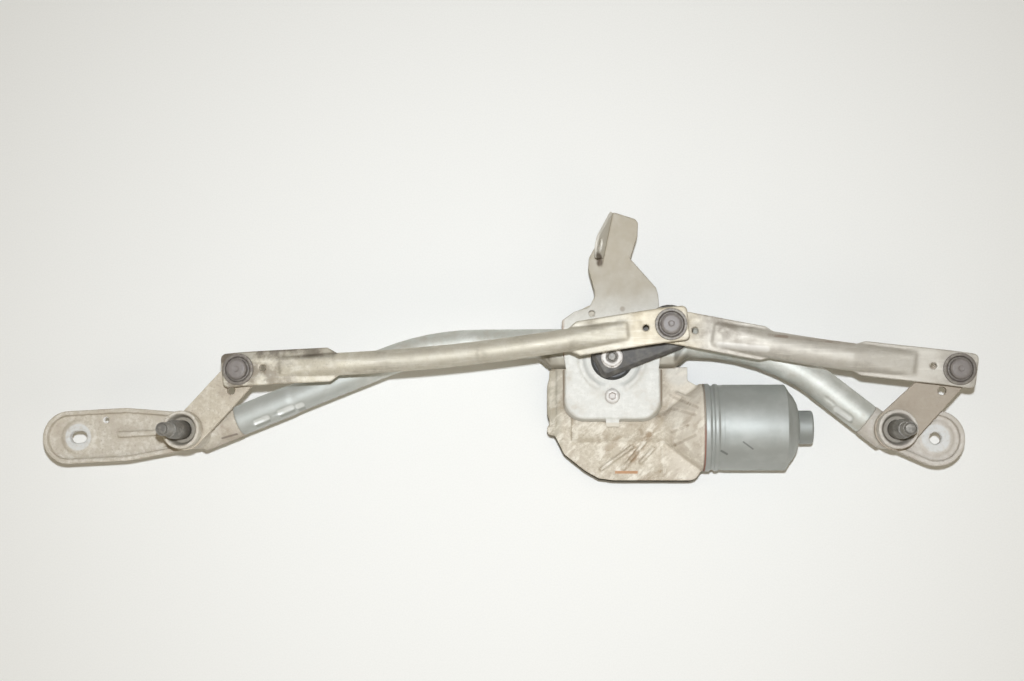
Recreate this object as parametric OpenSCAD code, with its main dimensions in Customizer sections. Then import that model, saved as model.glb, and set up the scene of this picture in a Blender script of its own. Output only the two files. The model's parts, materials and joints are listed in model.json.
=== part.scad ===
// Windscreen wiper linkage with its drive: a tubular frame with two die-cast bearing brackets,
// a gear motor under a pressed plate, one crank, two link rods and two levers with wiper spindles.
// The origin lies on the drive axis, on the flat underside of the gear cover.
// +X runs from the left spindle to the right one and +Z is the side that the spindles stand on.

/* [Layout] */
// Distance from the drive axis to the left spindle, along X
left_spindle_x = 316; // [296:1:340]
// Distance from the drive axis to the right spindle, along X
right_spindle_x = 203; // [195:1:225]
// How far both spindles lie below the drive axis in Y
spindle_drop = 53; // [48:1:58]
// Left lever, from spindle axis to ball centre
left_lever_l = 62; // [56:1:68]
// Right lever, from spindle axis to ball centre
right_lever_l = 60; // [56:1:66]
// Angle of both levers at rest, from +X
lever_angle = 45; // [40:1:50]
// Crank radius, from drive axis to ball pin
crank_r = 47.5; // [44:0.5:50]
// Angle of the crank at rest, from +X
crank_angle = 27; // [22:1:32]

/* [Heights] */
// Height of the motor and worm axis
motor_z = 33; // [33:0.5:36]
// Outer roof of the gear housing
roof_z = 40; // [39:0.5:42]
// Height from the plate to the underside of the crank hub
crank_lift = 3.5; // [3:0.5:6]
// Gap from the end of the output shaft to the lower link
shaft_end_gap = 1; // [0.5:0.5:3]
// Height from the lower link to the upper link
link_rise = 14; // [14:0.5:16]
// Height from a lever to the link above it
lever_gap = 10.5; // [10:0.5:12]

/* [Links and ball joints] */
// Thickness of the pressed flat link ends
link_t = 3; // [2.5:0.1:3.5]
// Width of the flat link ends
link_end_w = 25; // [25:0.5:27]
// How far a link end runs past its ball centre
link_overhang = 12.5; // [12.5:0.5:15]
// Fully flat length of a link end, from its ball centre
link_flat_l = 31; // [26:1:34]
// Distance from a ball centre to the shoulder of the wide link end
link_wide_l = 67; // [62:1:72]
// Length of the shoulder between the wide end and the round rod
link_shoulder_l = 8; // [6:1:12]
// Height of the link's bulge over its flat end, where it starts
link_pad_t = 6; // [5:0.5:8]
// Diameter of the round part of the left link
left_rod_d = 16.5; // [15:0.5:18]
// Diameter of the round part of the right link
right_rod_d = 20; // [17:0.5:20]
// Wall of the link tubes
link_wall = 1.5; // [1.2:0.1:2]
// Diameter of the ball studs
ball_d = 12; // [11:0.5:12]
// Diameter of the neck of a ball stud
ball_neck_d = 7; // [6:0.5:7]
// Diameter of the plastic body of a ball socket, where it passes the link
socket_d = 18; // [17:0.5:19]
// Diameter of the socket's collar on the link
socket_collar_d = 23; // [22:0.5:24.5]
// Diameter of the raised crown of a socket
socket_crown_d = 14.5; // [14:0.5:15]

/* [Levers and spindles] */
// Thickness of the lever plates
lever_t = 4; // [3:0.5:5]
// Width of a lever round its spindle
lever_root_w = 30; // [29:0.5:33]
// Width of a lever round its ball stud
lever_tip_w = 25; // [22:0.5:27]
// Diameter of the small hole in a lever
lever_hole_d = 6; // [4:0.5:7]
// Diameter of the spindle in its bearings
spindle_d = 12; // [11:0.5:13]
// Diameter of the threaded spindle tip, over the thread
tip_d = 8; // [7:0.5:8.5]
// Length of the threaded tip
tip_l = 15; // [12:1:18]
// Length of the tapered seat for a wiper arm
taper_l = 10; // [8:1:12]
// Plain length of spindle above the cup
stem_l = 14; // [10:1:18]
// Outer diameter of the cup round a spindle
cup_d = 28; // [27:0.5:29]
// Height of the cup
cup_h = 10; // [8:0.5:11]
// Diameter of the spindle bearing barrel
barrel_d = 28; // [26:0.5:30]
// Length of a spindle bearing bush
bush_l = 12; // [8:1:14]
// Wall of a spindle bearing bush
bush_wall = 2; // [1.5:0.25:2.5]
// Length of the left bearing barrel
left_barrel_l = 46; // [44:1:50]
// Length of the right bearing barrel
right_barrel_l = 38; // [36:1:42]

/* [Bearing brackets] */
// Underside of the fixing ears
ear_z = 40; // [36:0.5:44]
// Thickness of the ear's floor
ear_t = 5; // [4:0.5:6]
// Height of the rim above the ear's floor
rim_h = 5; // [3:0.5:7]
// Width of the rim
rim_w = 3.5; // [2.5:0.5:4.5]
// Width of the fixing ears
ear_w = 40.5; // [38:0.5:44]
// Left ear, from spindle axis to the centre of its round end
left_ear_l = 101; // [94:1:108]
// Left ear, length over which it widens from the barrel
left_ear_widen_l = 56; // [48:1:64]
// Length of the rib in the left ear, from the spindle axis
left_rib_l = 62; // [50:1:70]
// Turn of the left ear below the X axis
left_ear_turn = 3; // [0:1:8]
// Distance from the spindle to the fixing slot in the left ear
left_slot_at = 94.5; // [90:0.5:98]
// Width of the fixing slot
slot_w = 9; // [8:0.5:10]
// Length of the fixing slot
slot_l = 13.5; // [12:0.5:15]
// Right ear, from spindle axis to the centre of its fixing hole
right_ear_l = 32.5; // [30:0.5:38]
// Turn of the right ear below the X axis
right_ear_turn = 11; // [4:1:16]
// Diameter of the fixing hole in the right ear
right_hole_d = 8.7; // [8:0.1:10]
// Diameter of the flat land round a fixing hole
land_d = 25; // [23:0.5:27]

/* [Frame tube] */
// Outside diameter of the frame tube
tube_d = 22; // [20:0.5:22]
// Wall of the frame tube
tube_wall = 1.5; // [1.25:0.25:2]
// Outside diameter of the widened tube ends
tube_end_d = 23.2; // [22.8:0.1:24]
// Length of the widened tube ends
tube_end_l = 42; // [38:1:46]
// Height in Y of the middle of the tube over the drive axis
tube_y = 12; // [10:0.5:13]
// Thickness of the tube where it is pressed flat under the plate
flat_t = 8; // [7:0.5:9]
// Half length of the flat stretch
flat_half_l = 46; // [46:0.5:48]
// Length over which the tube goes from flat to round
flatten_l = 10; // [9:0.5:11]
// Slope of the left tube leg
left_leg_angle = 21.5; // [20:0.5:24]
// Slope of the right tube leg
right_leg_angle = 38.5; // [37:0.5:40]
// Bend radius of the left tube leg, at its centre line
left_bend_r = 190; // [150:5:210]
// Bend radius of the right tube leg, at its centre line
right_bend_r = 155; // [130:5:158]
// How far the tube's centre line passes below a spindle axis
leg_offset = 4.8; // [3:0.2:6]
// Distance from the left spindle to the tube's end
left_neck_l = 32; // [28:1:36]
// Distance from the right spindle to the tube's end
right_neck_l = 18; // [17:1:22]

/* [Motor plate] */
// Thickness of the pressed plate
plate_t = 2; // [1.5:0.25:2.5]
// Half width of the plate over the gear housing
plate_half_w = 37.5; // [36:0.5:40]
// Distance from the drive axis to the plate's lower edge
plate_drop = 47; // [44:0.5:50]
// Radius of the plate's lower corners
plate_corner_r = 16; // [12:1:20]
// Depth of the rim that is turned down round the plate
plate_rim_h = 4; // [3:0.5:4.5]
// Width of the slope between the plate's flat and its lower edge
plate_slope = 3; // [2:0.5:4]
// Inner radius of the raised bead round the drive axis
bead_r = 21; // [19:0.5:22]
// Width of the raised bead
bead_w = 5; // [4:0.5:6]
// Height of the raised bead
bead_h = 1.2; // [0.8:0.2:1.6]
// Distance from the drive axis to the end of the fixing arm
arm_reach = 108; // [104:1:112]
// Diameter of the hole in the fixing tab
tab_hole_d = 10; // [9:0.5:11]
// Height of the tab's hole above the bend
tab_hole_at = 18; // [16:0.5:22]

/* [Gear motor] */
// Distance from the drive axis to the motor axis
motor_drop = 51; // [51:0.5:53]
// Outside diameter of the motor can
can_d = 64; // [60:0.5:64]
// Length of the can's cylinder
can_l = 60; // [56:1:66]
// Length of the can's end cone
can_cone_l = 9; // [7:1:11]
// Diameter of the bearing boss on the can
can_boss_d = 25; // [22:0.5:28]
// Length of the bearing boss on the can
can_boss_l = 11; // [10:0.5:14]
// Wall of the can
can_wall = 2; // [1.5:0.25:2.5]
// Distance from the drive axis to the joint between housing and can
can_x = 68; // [66:0.5:70]
// Wall of the gear housing
house_wall = 2.6; // [2:0.2:3]
// Height of the plastic gear cover
cover_h = 8; // [7:0.5:10]
// Wall of the gear cover
cover_wall = 2; // [1.6:0.2:2.4]
// Pitch radius of the worm wheel
wheel_r = 40.6; // [39:0.1:41]
// Width of the worm wheel's rim
wheel_w = 8; // [6:0.5:8]
// Number of teeth on the worm wheel
wheel_teeth = 65; // [60:1:70]
// Diameter of the output shaft
shaft_d = 10; // [9:0.5:11]
// Diameter of the shaft's thread for the crank nut, over the thread
shaft_thread_d = 8; // [7:0.5:8.5]
// Diameter of the tower round the output shaft
tower_d = 20; // [18:0.5:20]
// Distance from the drive axis to each plate screw
screw_circle_r = 28; // [27.5:0.25:30]
// Diameter of the plate screws' heads
screw_head_d = 11.4; // [10:0.2:12]
// Diameter of the plate screws, over the thread
screw_d = 6; // [5:0.5:6]

/* [Clearances] */
// Radial clearance of a turning fit
running = 0.05; // [0.02:0.01:0.1]
// Radial clearance of a fixed seat
seat = 0.05; // [0.02:0.01:0.1]
// Gap between parts that pass each other
pass_gap = 0.3; // [0.2:0.1:0.5]

/* [Hidden] */
$fn = 64;
hull_fn = 32;
arc_step = 5;
overlap = 0.5;

// Plan places
left_spindle = [-left_spindle_x, -spindle_drop];
right_spindle = [right_spindle_x, -spindle_drop];
crank_pin = crank_r * [cos(crank_angle), sin(crank_angle)];
left_ball = left_spindle + left_lever_l * [cos(lever_angle), sin(lever_angle)];
right_ball = right_spindle + right_lever_l * [cos(lever_angle), sin(lever_angle)];

// Levels, from the gear cover's underside up
tube_z = roof_z + flat_t / 2;
plate_z = roof_z + flat_t;
plate_top = plate_z + plate_t;
hub_z = plate_top + crank_lift;
crank_t = 10;
arm_t = 6;
hub_step = 2;
crank_top = hub_z + crank_t;
nut_flange_t = 1.5;
nut_h = 8;
nut_af = 13;
shaft_end_z = crank_top + nut_h + 1.5;
low_link_z = shaft_end_z + shaft_end_gap;
high_link_z = low_link_z + link_rise;
right_lever_z = low_link_z - lever_gap - lever_t;
left_lever_z = high_link_z - lever_gap - lever_t;

// Ball joints
ball_r = ball_d / 2;
ball_neck_r = ball_neck_d / 2;
low_ball_z = low_link_z + link_t / 2;
high_ball_z = high_link_z + link_t / 2;
foot_t = 3;
foot_r = 7.5;
rivet_r = 4;
rivet_head_r = 6;
rivet_head_t = 1.5;
socket_depth = 6;
socket_mouth_r = ball_r - 0.8;
collar_h = 2;
crown_wall = 1.5;
crown_h = ball_r + crown_wall;
open_socket_h = 4.8;

// Spindles and levers
lever_hole_in = 17;
lever_hole_off = 4;
spindle_r = spindle_d / 2;
tip_r = tip_d / 2;
washer_t = 0.7;
clip_t = 1.2;
clip_r = spindle_r + 3;
spindle_tail = clip_t + 3;
spindle_top = cup_h + stem_l + taper_l + tip_l;
bush_flange_r = spindle_r + bush_wall + 2;
bush_flange_t = 1.5;

// Bearing brackets
ear_r = ear_w / 2;
ear_root_r = barrel_d / 2 - 1;
ear_top = ear_z + ear_t;
land_h = 1.2;
rib_w = 4;
ear_hole_d = 4.6;
ear_hole_at = [left_slot_at - 22, -12];
spigot_r = tube_end_d / 2 - tube_wall - seat;
spigot_l = tube_end_l - 4;
neck_r = tube_end_d / 2 + 0.4;

// Frame tube
tube_r = tube_d / 2;
flat_w = (PI * tube_d - PI * flat_t) / 2 + flat_t;
flat_shift = tube_r - flat_w / 2;
tube_step_l = 4;
tube_sides = 32;
bend_steps = 6;
left_leg_foot = left_spindle + leg_offset * [sin(left_leg_angle), -cos(left_leg_angle)];
right_leg_foot = right_spindle - leg_offset * [sin(right_leg_angle), cos(right_leg_angle)];
left_vertex_x = left_leg_foot[0] + (tube_y - left_leg_foot[1]) / tan(left_leg_angle);
right_vertex_x = right_leg_foot[0] - (tube_y - right_leg_foot[1]) / tan(right_leg_angle);
left_tangent = left_bend_r * tan(left_leg_angle / 2);
right_tangent = right_bend_r * tan(right_leg_angle / 2);
left_leg_l = (tube_y - left_leg_foot[1]) / sin(left_leg_angle) - left_tangent;
right_leg_l = (tube_y - right_leg_foot[1]) / sin(right_leg_angle) - right_tangent;
round_x = flat_half_l + flatten_l;

// Motor plate: the arm's outline runs up its left edge to the bend and down its right edge
seat_top_y = 36;
rim_end_y = tube_y + flat_shift - flat_w / 2 - 1;
arm_left = [
    [-plate_half_w, 10], [-plate_half_w, 29], [-28, 35.5], [-17, 39], [-13, 46.5], [-13, 51],
    [-17.5, 67.5], [-17, 76], [-12.5, 84], [-5.5, 85]
];
arm_right = [
    [18, arm_reach - 3], [20, arm_reach - 6], [19.5, arm_reach - 16], [14, 75], [33, 53],
    [plate_half_w - 3, 48], [plate_half_w, 10]
];
arm_corner_r = 3;
bend = [-8, 73];
bend_end = [0, arm_reach + 3];
bend_angle = 78;
relief_l = 7;
relief_w = 3;
tab_l = 38;
tab_end_h = 5;
tab_hole_along = 10;
tab_edge = 5.5;
tongue_w = 10;
tongue_l = 6;
plate_hole_at = [-15, 34];
plate_hole_d = 4.5;

// Gear housing
worm_r = motor_drop - wheel_r - 0.4;
chamber_r = wheel_r + 1.4;
house_r = chamber_r + house_wall;
house_left = -49.2;
house_bottom = -motor_drop - 39.5;
house_right = can_x - 3;
house_corner_r = 9;
house_step = [56, -6];
house_slope = [[-45, -54], [-36.5, -71], [-21.5, -83], [-11, -89]];
house_gussets = [[[47, -25], [62, -32]], [[48, -60], [62, -54]]];
roof_ribs = [[[26, -59], [7, -82.5]], [[15, -65], [-9.5, -82.5]], [[31, -66], [20, -77.5]]];
roof_rib_w = 2.4;
roof_rib_h = 2.5;
clip_seat_x = 1.5;
clip_seat = [16.5, 6, 9.2];
lug_r = 4.5;
lug_at = [house_left + 4.2, -motor_drop - 1.5];
cover_lip = 1.6;
bell_r = can_d / 2 + 0.8;
bell_l = can_x - house_right;
bell_cone_l = 27;
bell_hole_r = can_d / 2 - can_wall - seat - 2;
can_spigot_l = 4;
gasket_t = 0.8;
tunnel_r = worm_r + 0.7;
neck_hole_r = tower_d / 2 + pass_gap;
cap_r = 16;
tower_rise = 2;
output_bush_r = shaft_d / 2 + running + 2;
screw_gap = 0.3;
screw_turns = [-90, 30, 150];
screw_boss_r = 6.5;
screw_l = plate_top - roof_z + house_wall - 0.6;
wheel_z = motor_z - wheel_w / 2;
plug_w = 26;
plug_h = 15;
plug_l = 15;
plug_x = 7;
plug_y = house_r + pass_gap;
pin_count = 4;
pin_l = 9;
board_z = cover_wall + 3;
board_t = 1.6;
board_l = 34;
board_w = 26;
board_at = [-20, house_bottom + 14];
post_r = 2.5;
post_in = 4;
pin_w = 2.2;
pin_t = 0.8;
shaft_foot_z = cover_h + 1;
can_end_x = can_x + can_l + can_cone_l + can_boss_l;
worm_end = 26;
worm_half_l = 20;
arm_shaft_r = 4;
core_r = 21;
core_l = 34;
core_gap = 20;
core_x = can_x + core_gap;
magnet_t = 6;
magnet_r = can_d / 2 - can_wall - seat;
commutator_r = 11;
commutator_l = 10;

// Angle of the line from one plan point to another
function heading(from, to) = atan2(to[1] - from[1], to[0] - from[0]);

// Points of an arc, counterclockwise
function arc(centre, r, from, to) = let (steps = ceil((to - from) / arc_step)) [
    for (i = [0:steps]) let (a = from + (to - from) * i / steps) centre + r * [cos(a), sin(a)]
];

// Lean of the line that touches two circles on the X axis, from +X to its normal
function touch_angle(length, r_start, r_end) = acos((r_start - r_end) / length);

// Flat bar along +X with two round ends and straight sides that are tangent to both
module tangent_bar(length, r_start, r_end) {
    lean = touch_angle(length, r_start, r_end);
    polygon(concat(arc([0, 0], r_start, lean, 360 - lean), arc([length, 0], r_end, -lean, lean)));
}

// Round-ended slot, centred, along X
module slot_shape(length, width) {
    half = (length - width) / 2;
    polygon(concat(arc([half, 0], width / 2, -90, 90), arc([-half, 0], width / 2, 90, 270)));
}

// Straight-through slot with true round ends, centred, along X
module slot_cut(length, width, depth) {
    half = (length - width) / 2;
    translate([-half, -width / 2, 0]) cube([2 * half, width, depth]);
    for (end = [-half, half]) translate([end, 0, 0]) cylinder(d = width, h = depth);
}

// Rectangle with round corners, from its lower left corner
module rounded_box(size, r) {
    polygon(concat(
        arc([size[0] - r, r], r, -90, 0), arc([size[0] - r, size[1] - r], r, 0, 90),
        arc([r, size[1] - r], r, 90, 180), arc([r, r], r, 180, 270)
    ));
}

// Puts its children at a plan point and height, turned about Z
module at(point, z = 0, turn = 0) {
    translate([point[0], point[1], z]) rotate(turn) children();
}

// Turns a shape that stands on Z so that it lies along +X
module along_x() {
    rotate([0, 90, 0]) children();
}

// Bearing brackets

// Fixing ear in plan, drawn in by inset all round
module left_ear_shape(inset = 0) {
    root_r = ear_root_r - inset;
    end_r = ear_r - inset;
    middle = [left_ear_widen_l, 0];
    lean = touch_angle(left_ear_widen_l, root_r, end_r);
    polygon(concat(
        arc([0, 0], root_r, lean, 360 - lean), arc(middle, end_r, -lean, -90),
        arc([left_ear_l, 0], end_r, -90, 90), arc(middle, end_r, 90, lean)
    ));
}

module right_ear_shape(inset = 0) {
    tangent_bar(right_ear_l, ear_root_r - inset, ear_r - inset);
}

// Barrel, neck and spigot that both brackets have, round the spindle axis
module bracket_body(top_z, barrel_l, leg_turn, offset_side, neck_l) {
    translate([0, 0, top_z - barrel_l]) cylinder(d = barrel_d, h = barrel_l);
    at([0, 0], tube_z, leg_turn) translate([0, offset_side * leg_offset, 0]) along_x() {
        cylinder(r = neck_r, h = neck_l);
        cylinder(r = spigot_r, h = neck_l + spigot_l);
    }
}

// Bores for two bushes and the spindle between them
module bracket_bore(top_z, barrel_l) {
    seat_r = spindle_r + running + bush_wall + seat;
    translate([0, 0, top_z - barrel_l - overlap]) cylinder(r = spindle_r + 1, h = barrel_l + 2 * overlap);
    translate([0, 0, top_z - bush_l]) cylinder(r = seat_r, h = bush_l + overlap);
    translate([0, 0, top_z - barrel_l - overlap]) cylinder(r = seat_r, h = bush_l + overlap);
}

module left_bearing_bracket() color([0.70, 0.66, 0.60]) {
    top_z = left_lever_z - washer_t - bush_flange_t;
    at(left_spindle) difference() {
        union() {
            bracket_body(top_z, left_barrel_l, left_leg_angle, -1, left_neck_l);
            rotate(180 + left_ear_turn) translate([0, 0, ear_z]) {
                linear_extrude(ear_t) left_ear_shape();
                linear_extrude(ear_t + rim_h) difference() {
                    left_ear_shape();
                    left_ear_shape(rim_w);
                }
                linear_extrude(ear_t + rim_h) translate([0, -rib_w / 2])
                    square([left_rib_l, rib_w]);
                translate([left_slot_at, 0, 0]) cylinder(d = land_d, h = ear_t + land_h);
            }
        }
        bracket_bore(top_z, left_barrel_l);
        rotate(180 + left_ear_turn) translate([left_slot_at, 0, ear_z - overlap])
            slot_cut(slot_l, slot_w, ear_t + rim_h);
        rotate(180 + left_ear_turn) at(ear_hole_at, ear_z - overlap)
            cylinder(d = ear_hole_d, h = ear_t + 2 * overlap);
    }
}

module right_bearing_bracket() color([0.70, 0.66, 0.60]) {
    top_z = right_lever_z - washer_t - bush_flange_t;
    at(right_spindle) difference() {
        union() {
            bracket_body(top_z, right_barrel_l, 180 - right_leg_angle, 1, right_neck_l);
            rotate(-right_ear_turn) translate([0, 0, ear_z]) {
                linear_extrude(ear_t) right_ear_shape();
                linear_extrude(ear_t + rim_h) difference() {
                    right_ear_shape();
                    right_ear_shape(rim_w);
                }
                translate([right_ear_l, 0, 0]) cylinder(d = land_d, h = ear_t + land_h);
            }
        }
        bracket_bore(top_z, right_barrel_l);
        rotate(-right_ear_turn) translate([right_ear_l, 0, ear_z - overlap])
            cylinder(d = right_hole_d, h = ear_t + rim_h);
    }
}

// Flanged bush that stands on Z with its flange on top
module bush() {
    difference() {
        union() {
            cylinder(r = spindle_r + running + bush_wall, h = bush_l);
            translate([0, 0, bush_l]) cylinder(r = bush_flange_r, h = bush_flange_t);
        }
        translate([0, 0, -overlap])
            cylinder(r = spindle_r + running, h = bush_l + bush_flange_t + 2 * overlap);
    }
}

module bush_pair(lever_z, barrel_l) {
    top_z = lever_z - washer_t - bush_flange_t;
    translate([0, 0, top_z - bush_l]) bush();
    translate([0, 0, top_z - barrel_l + bush_l]) mirror([0, 0, 1]) bush();
}

module left_bushes() color([0.72, 0.58, 0.36]) at(left_spindle) bush_pair(left_lever_z, left_barrel_l);

module right_bushes() color([0.72, 0.58, 0.36]) at(right_spindle) bush_pair(right_lever_z, right_barrel_l);

// Frame tube

// A station along the tube: its centre in plan, its heading, its radius and whether it is pressed flat
function leg_station(foot, heading, s, r) = [foot + s * [cos(heading), sin(heading)], heading, r, 0];

function bend_stations(centre, bend_r, from, to) = [
    for (i = [0:bend_steps]) let (h = from + (to - from) * i / bend_steps)
        [centre + bend_r * [-sin(h), cos(h)], h, tube_r, 0]
];

function tube_stations() = concat(
    [
        leg_station(left_leg_foot, left_leg_angle, left_neck_l, tube_end_d / 2),
        leg_station(left_leg_foot, left_leg_angle, left_neck_l + tube_end_l, tube_end_d / 2),
        leg_station(left_leg_foot, left_leg_angle, left_neck_l + tube_end_l + tube_step_l, tube_r)
    ],
    bend_stations([left_vertex_x + left_tangent, tube_y - left_bend_r], left_bend_r, left_leg_angle, 0),
    [for (x = [-round_x, -flat_half_l, flat_half_l, round_x])
        [[x, tube_y], 0, tube_r, abs(x) < round_x ? 1 : 0]],
    bend_stations(
        [right_vertex_x - right_tangent, tube_y - right_bend_r], right_bend_r, 0, -right_leg_angle
    ),
    [
        leg_station(right_leg_foot, -right_leg_angle, -right_neck_l - tube_end_l - tube_step_l, tube_r),
        leg_station(right_leg_foot, -right_leg_angle, -right_neck_l - tube_end_l, tube_end_d / 2),
        leg_station(right_leg_foot, -right_leg_angle, -right_neck_l, tube_end_d / 2)
    ]
);

// Ring of points round a station: a circle, or a round-edged flat of the same girth
function tube_ring(station, r, half_t) = [
    for (i = [0:tube_sides - 1]) let (
        a = (i + 0.5) * 360 / tube_sides,
        spread = flat_shift + sign(cos(a)) * (flat_w - flat_t) / 2,
        across = station[3] == 0 ? r * cos(a) : half_t * cos(a) + spread,
        up = station[3] == 0 ? r * sin(a) : half_t * sin(a),
        plan = station[0] + across * [-sin(station[1]), cos(station[1])]
    ) [plan[0], plan[1], tube_z + up]
];

// Tube wall as one skin outside and one inside, joined at both ends; flats of the bore keep its full radius
module tube_wall_solid() {
    stations = tube_stations();
    last = len(stations) - 1;
    inner_scale = 1 / cos(180 / tube_sides);
    outer = [for (st = stations) each tube_ring(st, st[2], flat_t / 2)];
    inner = [for (st = stations)
        each tube_ring(st, (st[2] - tube_wall) * inner_scale, flat_t / 2 - tube_wall)];
    count = len(outer);
    end = last * tube_sides;
    sides = [for (i = [0:tube_sides - 1]) [i, (i + 1) % tube_sides]];
    polyhedron(concat(outer, inner), concat(
        [for (a = [0:tube_sides:end - 1], s = sides) let (b = a + tube_sides)
            [a + s[0], a + s[1], b + s[1], b + s[0]]],
        [for (a = [count:tube_sides:count + end - 1], s = sides) let (b = a + tube_sides)
            [b + s[0], b + s[1], a + s[1], a + s[0]]],
        [for (s = sides) [s[0], count + s[0], count + s[1], s[1]]],
        [for (s = sides) [end + s[0], end + s[1], count + end + s[1], count + end + s[0]]]
    ));
}

// Oblong dent that locks a tube end on its spigot
module crimp(foot, turn, along, around) {
    dent_r = 2.2;
    dent_l = 7;
    at(foot, tube_z, turn) rotate([around, 0, 0]) translate([along, 0, tube_end_d / 2 + dent_r - 0.8]) {
        along_x() cylinder(r = dent_r, h = dent_l, center = true);
        for (end = [-1, 1]) translate([end * dent_l / 2, 0, 0]) sphere(dent_r);
    }
}

module frame_tube() color([0.70, 0.74, 0.74]) difference() {
    tube_wall_solid();
    translate([0, 0, roof_z - overlap]) cylinder(r = neck_hole_r, h = flat_t + 2 * overlap);
    for (turn = [30, 150]) rotate(turn) translate([screw_circle_r, 0, roof_z - overlap])
        cylinder(d = screw_d + 2 * screw_gap, h = flat_t + 2 * overlap);
    for (along = [16, 32]) crimp(left_leg_foot, left_leg_angle, left_neck_l + along, 35);
    for (along = [14, 30]) crimp(right_leg_foot, 180 - right_leg_angle, right_neck_l + along, -35);
}

// Motor plate

// Plan of the plate's seat over the gear housing, drawn in by inset all round
module seat_shape(inset) {
    translate([inset - plate_half_w, inset - plate_drop])
        rounded_box(
            [2 * (plate_half_w - inset), plate_drop + seat_top_y - 2 * inset], plate_corner_r - inset / 2
        );
}

// Seat as a block with sloping sides
module seat_block() {
    slice = 0.01;
    hull() {
        translate([0, 0, plate_top - plate_rim_h]) linear_extrude(slice) seat_shape(0);
        translate([0, 0, plate_top - slice]) linear_extrude(slice) seat_shape(plate_slope);
    }
}

// Sloping rim of the seat, up to where the tube passes under the plate
module seat_rim() {
    difference() {
        seat_block();
        translate([0, 0, -plate_t]) seat_block();
        translate([-plate_half_w - 1, rim_end_y, 0])
            cube([2 * plate_half_w + 2, 2 * plate_drop, 2 * plate_top]);
    }
}

// Plan of the waisted arm
module arm_shape() {
    foot = [plate_half_w - plate_slope, rim_end_y - overlap];
    offset(r = arm_corner_r, $fn = hull_fn) offset(delta = -arm_corner_r)
        polygon(concat([[-foot[0], foot[1]]], arm_left, [bend_end], arm_right, [foot]));
}

// Tab that is bent up beside the arm, drawn flat: X runs along the bend
module tab_shape() {
    tab_r = tab_hole_d / 2 + tab_edge;
    polygon(concat(
        [[relief_w, 0], [tab_l, 0], [tab_l, tab_end_h]], arc([tab_hole_along, tab_hole_at], tab_r, 48, 180)
    ));
}

module motor_plate() color([0.84, 0.83, 0.80]) {
    difference() {
        union() {
            seat_rim();
            translate([0, 0, plate_z]) linear_extrude(plate_t) arm_shape();
            translate([0, 0, plate_top - plate_rim_h]) linear_extrude(plate_rim_h) arm_rim();
            translate([0, 0, plate_top]) plate_bead();
            on_tab() linear_extrude(plate_t) tab_shape();
            translate([-tongue_w / 2, 2 - plate_drop - tongue_l, plate_z - 1])
                cube([tongue_w, tongue_l, plate_t]);
        }
        translate([0, 0, plate_z - overlap]) cylinder(r = neck_hole_r, h = plate_t + 2 * overlap);
        for (turn = screw_turns) rotate(turn) translate([screw_circle_r, 0, plate_z - overlap])
            cylinder(d = screw_d + 2 * screw_gap, h = plate_t + 2 * overlap);
        on_tab() translate([tab_hole_along, tab_hole_at, -overlap])
            cylinder(d = tab_hole_d, h = plate_t + 2 * overlap);
        at(bend, plate_z - overlap, heading(bend, bend_end))
            translate([relief_w - relief_l, -relief_w / 2, 0])
                cube([relief_l, relief_w, plate_t + 2 * overlap]);
        at(plate_hole_at, plate_z - overlap) cylinder(d = plate_hole_d, h = plate_t + 2 * overlap);
    }
}

// Places a flat shape on the bent-up tab: X along the bend, Y up the tab
module on_tab() {
    at(bend, plate_z, heading(bend, bend_end)) rotate([bend_angle, 0, 0]) children();
}

// Turned-down rim of the arm, left out where the tube passes under it and where the tab is bent
module arm_rim() {
    difference() {
        arm_shape();
        offset(delta = -plate_t) arm_shape();
        translate([-plate_half_w - 1, rim_end_y - plate_drop])
            square([2 * plate_half_w + 2, plate_drop + flat_w + 3]);
        translate([bend[0] - 12, bend[1] - 8]) square([28, arm_reach]);
    }
}

// Raised bead round the drive axis, broken at each screw
module plate_bead() {
    gap_turn = 24;
    for (turn = screw_turns) rotate(turn + gap_turn) rotate_extrude(angle = 120 - 2 * gap_turn)
        translate([bead_r, 0]) polygon([
            [0, 0], [bead_w, 0], [bead_w - bead_h, bead_h], [bead_h, bead_h]
        ]);
}

module plate_screws() color([0.55, 0.55, 0.56]) {
    head_h = 4;
    drive_d = 5.5;
    for (turn = screw_turns) rotate(turn) translate([screw_circle_r, 0, 0]) difference() {
        union() {
            translate([0, 0, plate_top]) cylinder(d = screw_head_d, h = head_h);
            translate([0, 0, plate_top - screw_l]) cylinder(d = screw_d, h = screw_l);
        }
        translate([0, 0, plate_top + head_h - 2.2]) cylinder(d = drive_d, h = 3, $fn = 6);
    }
}

// Gear motor

// Plan of the gear housing, drawn in by inset all round: round over the worm wheel, square to the motor
module house_shape(inset = 0) {
    lean = asin(house_step[1] / house_r);
    corner = [house_right - house_corner_r, house_bottom + house_corner_r];
    offset(delta = -inset) polygon(concat(
        arc([0, 0], house_r, lean, 182), [[house_left, -20], [house_left, 10 - motor_drop]], house_slope,
        [[0, house_bottom]], arc(corner, house_corner_r, 270, 360),
        [[house_right, house_step[1] - 15], [house_step[0], house_step[1] - 10], house_step]
    ));
}

// Places a shape on the motor axis, with its Z along +X
module on_motor_axis(x) {
    translate([x, -motor_drop, motor_z]) along_x() children();
}

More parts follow.
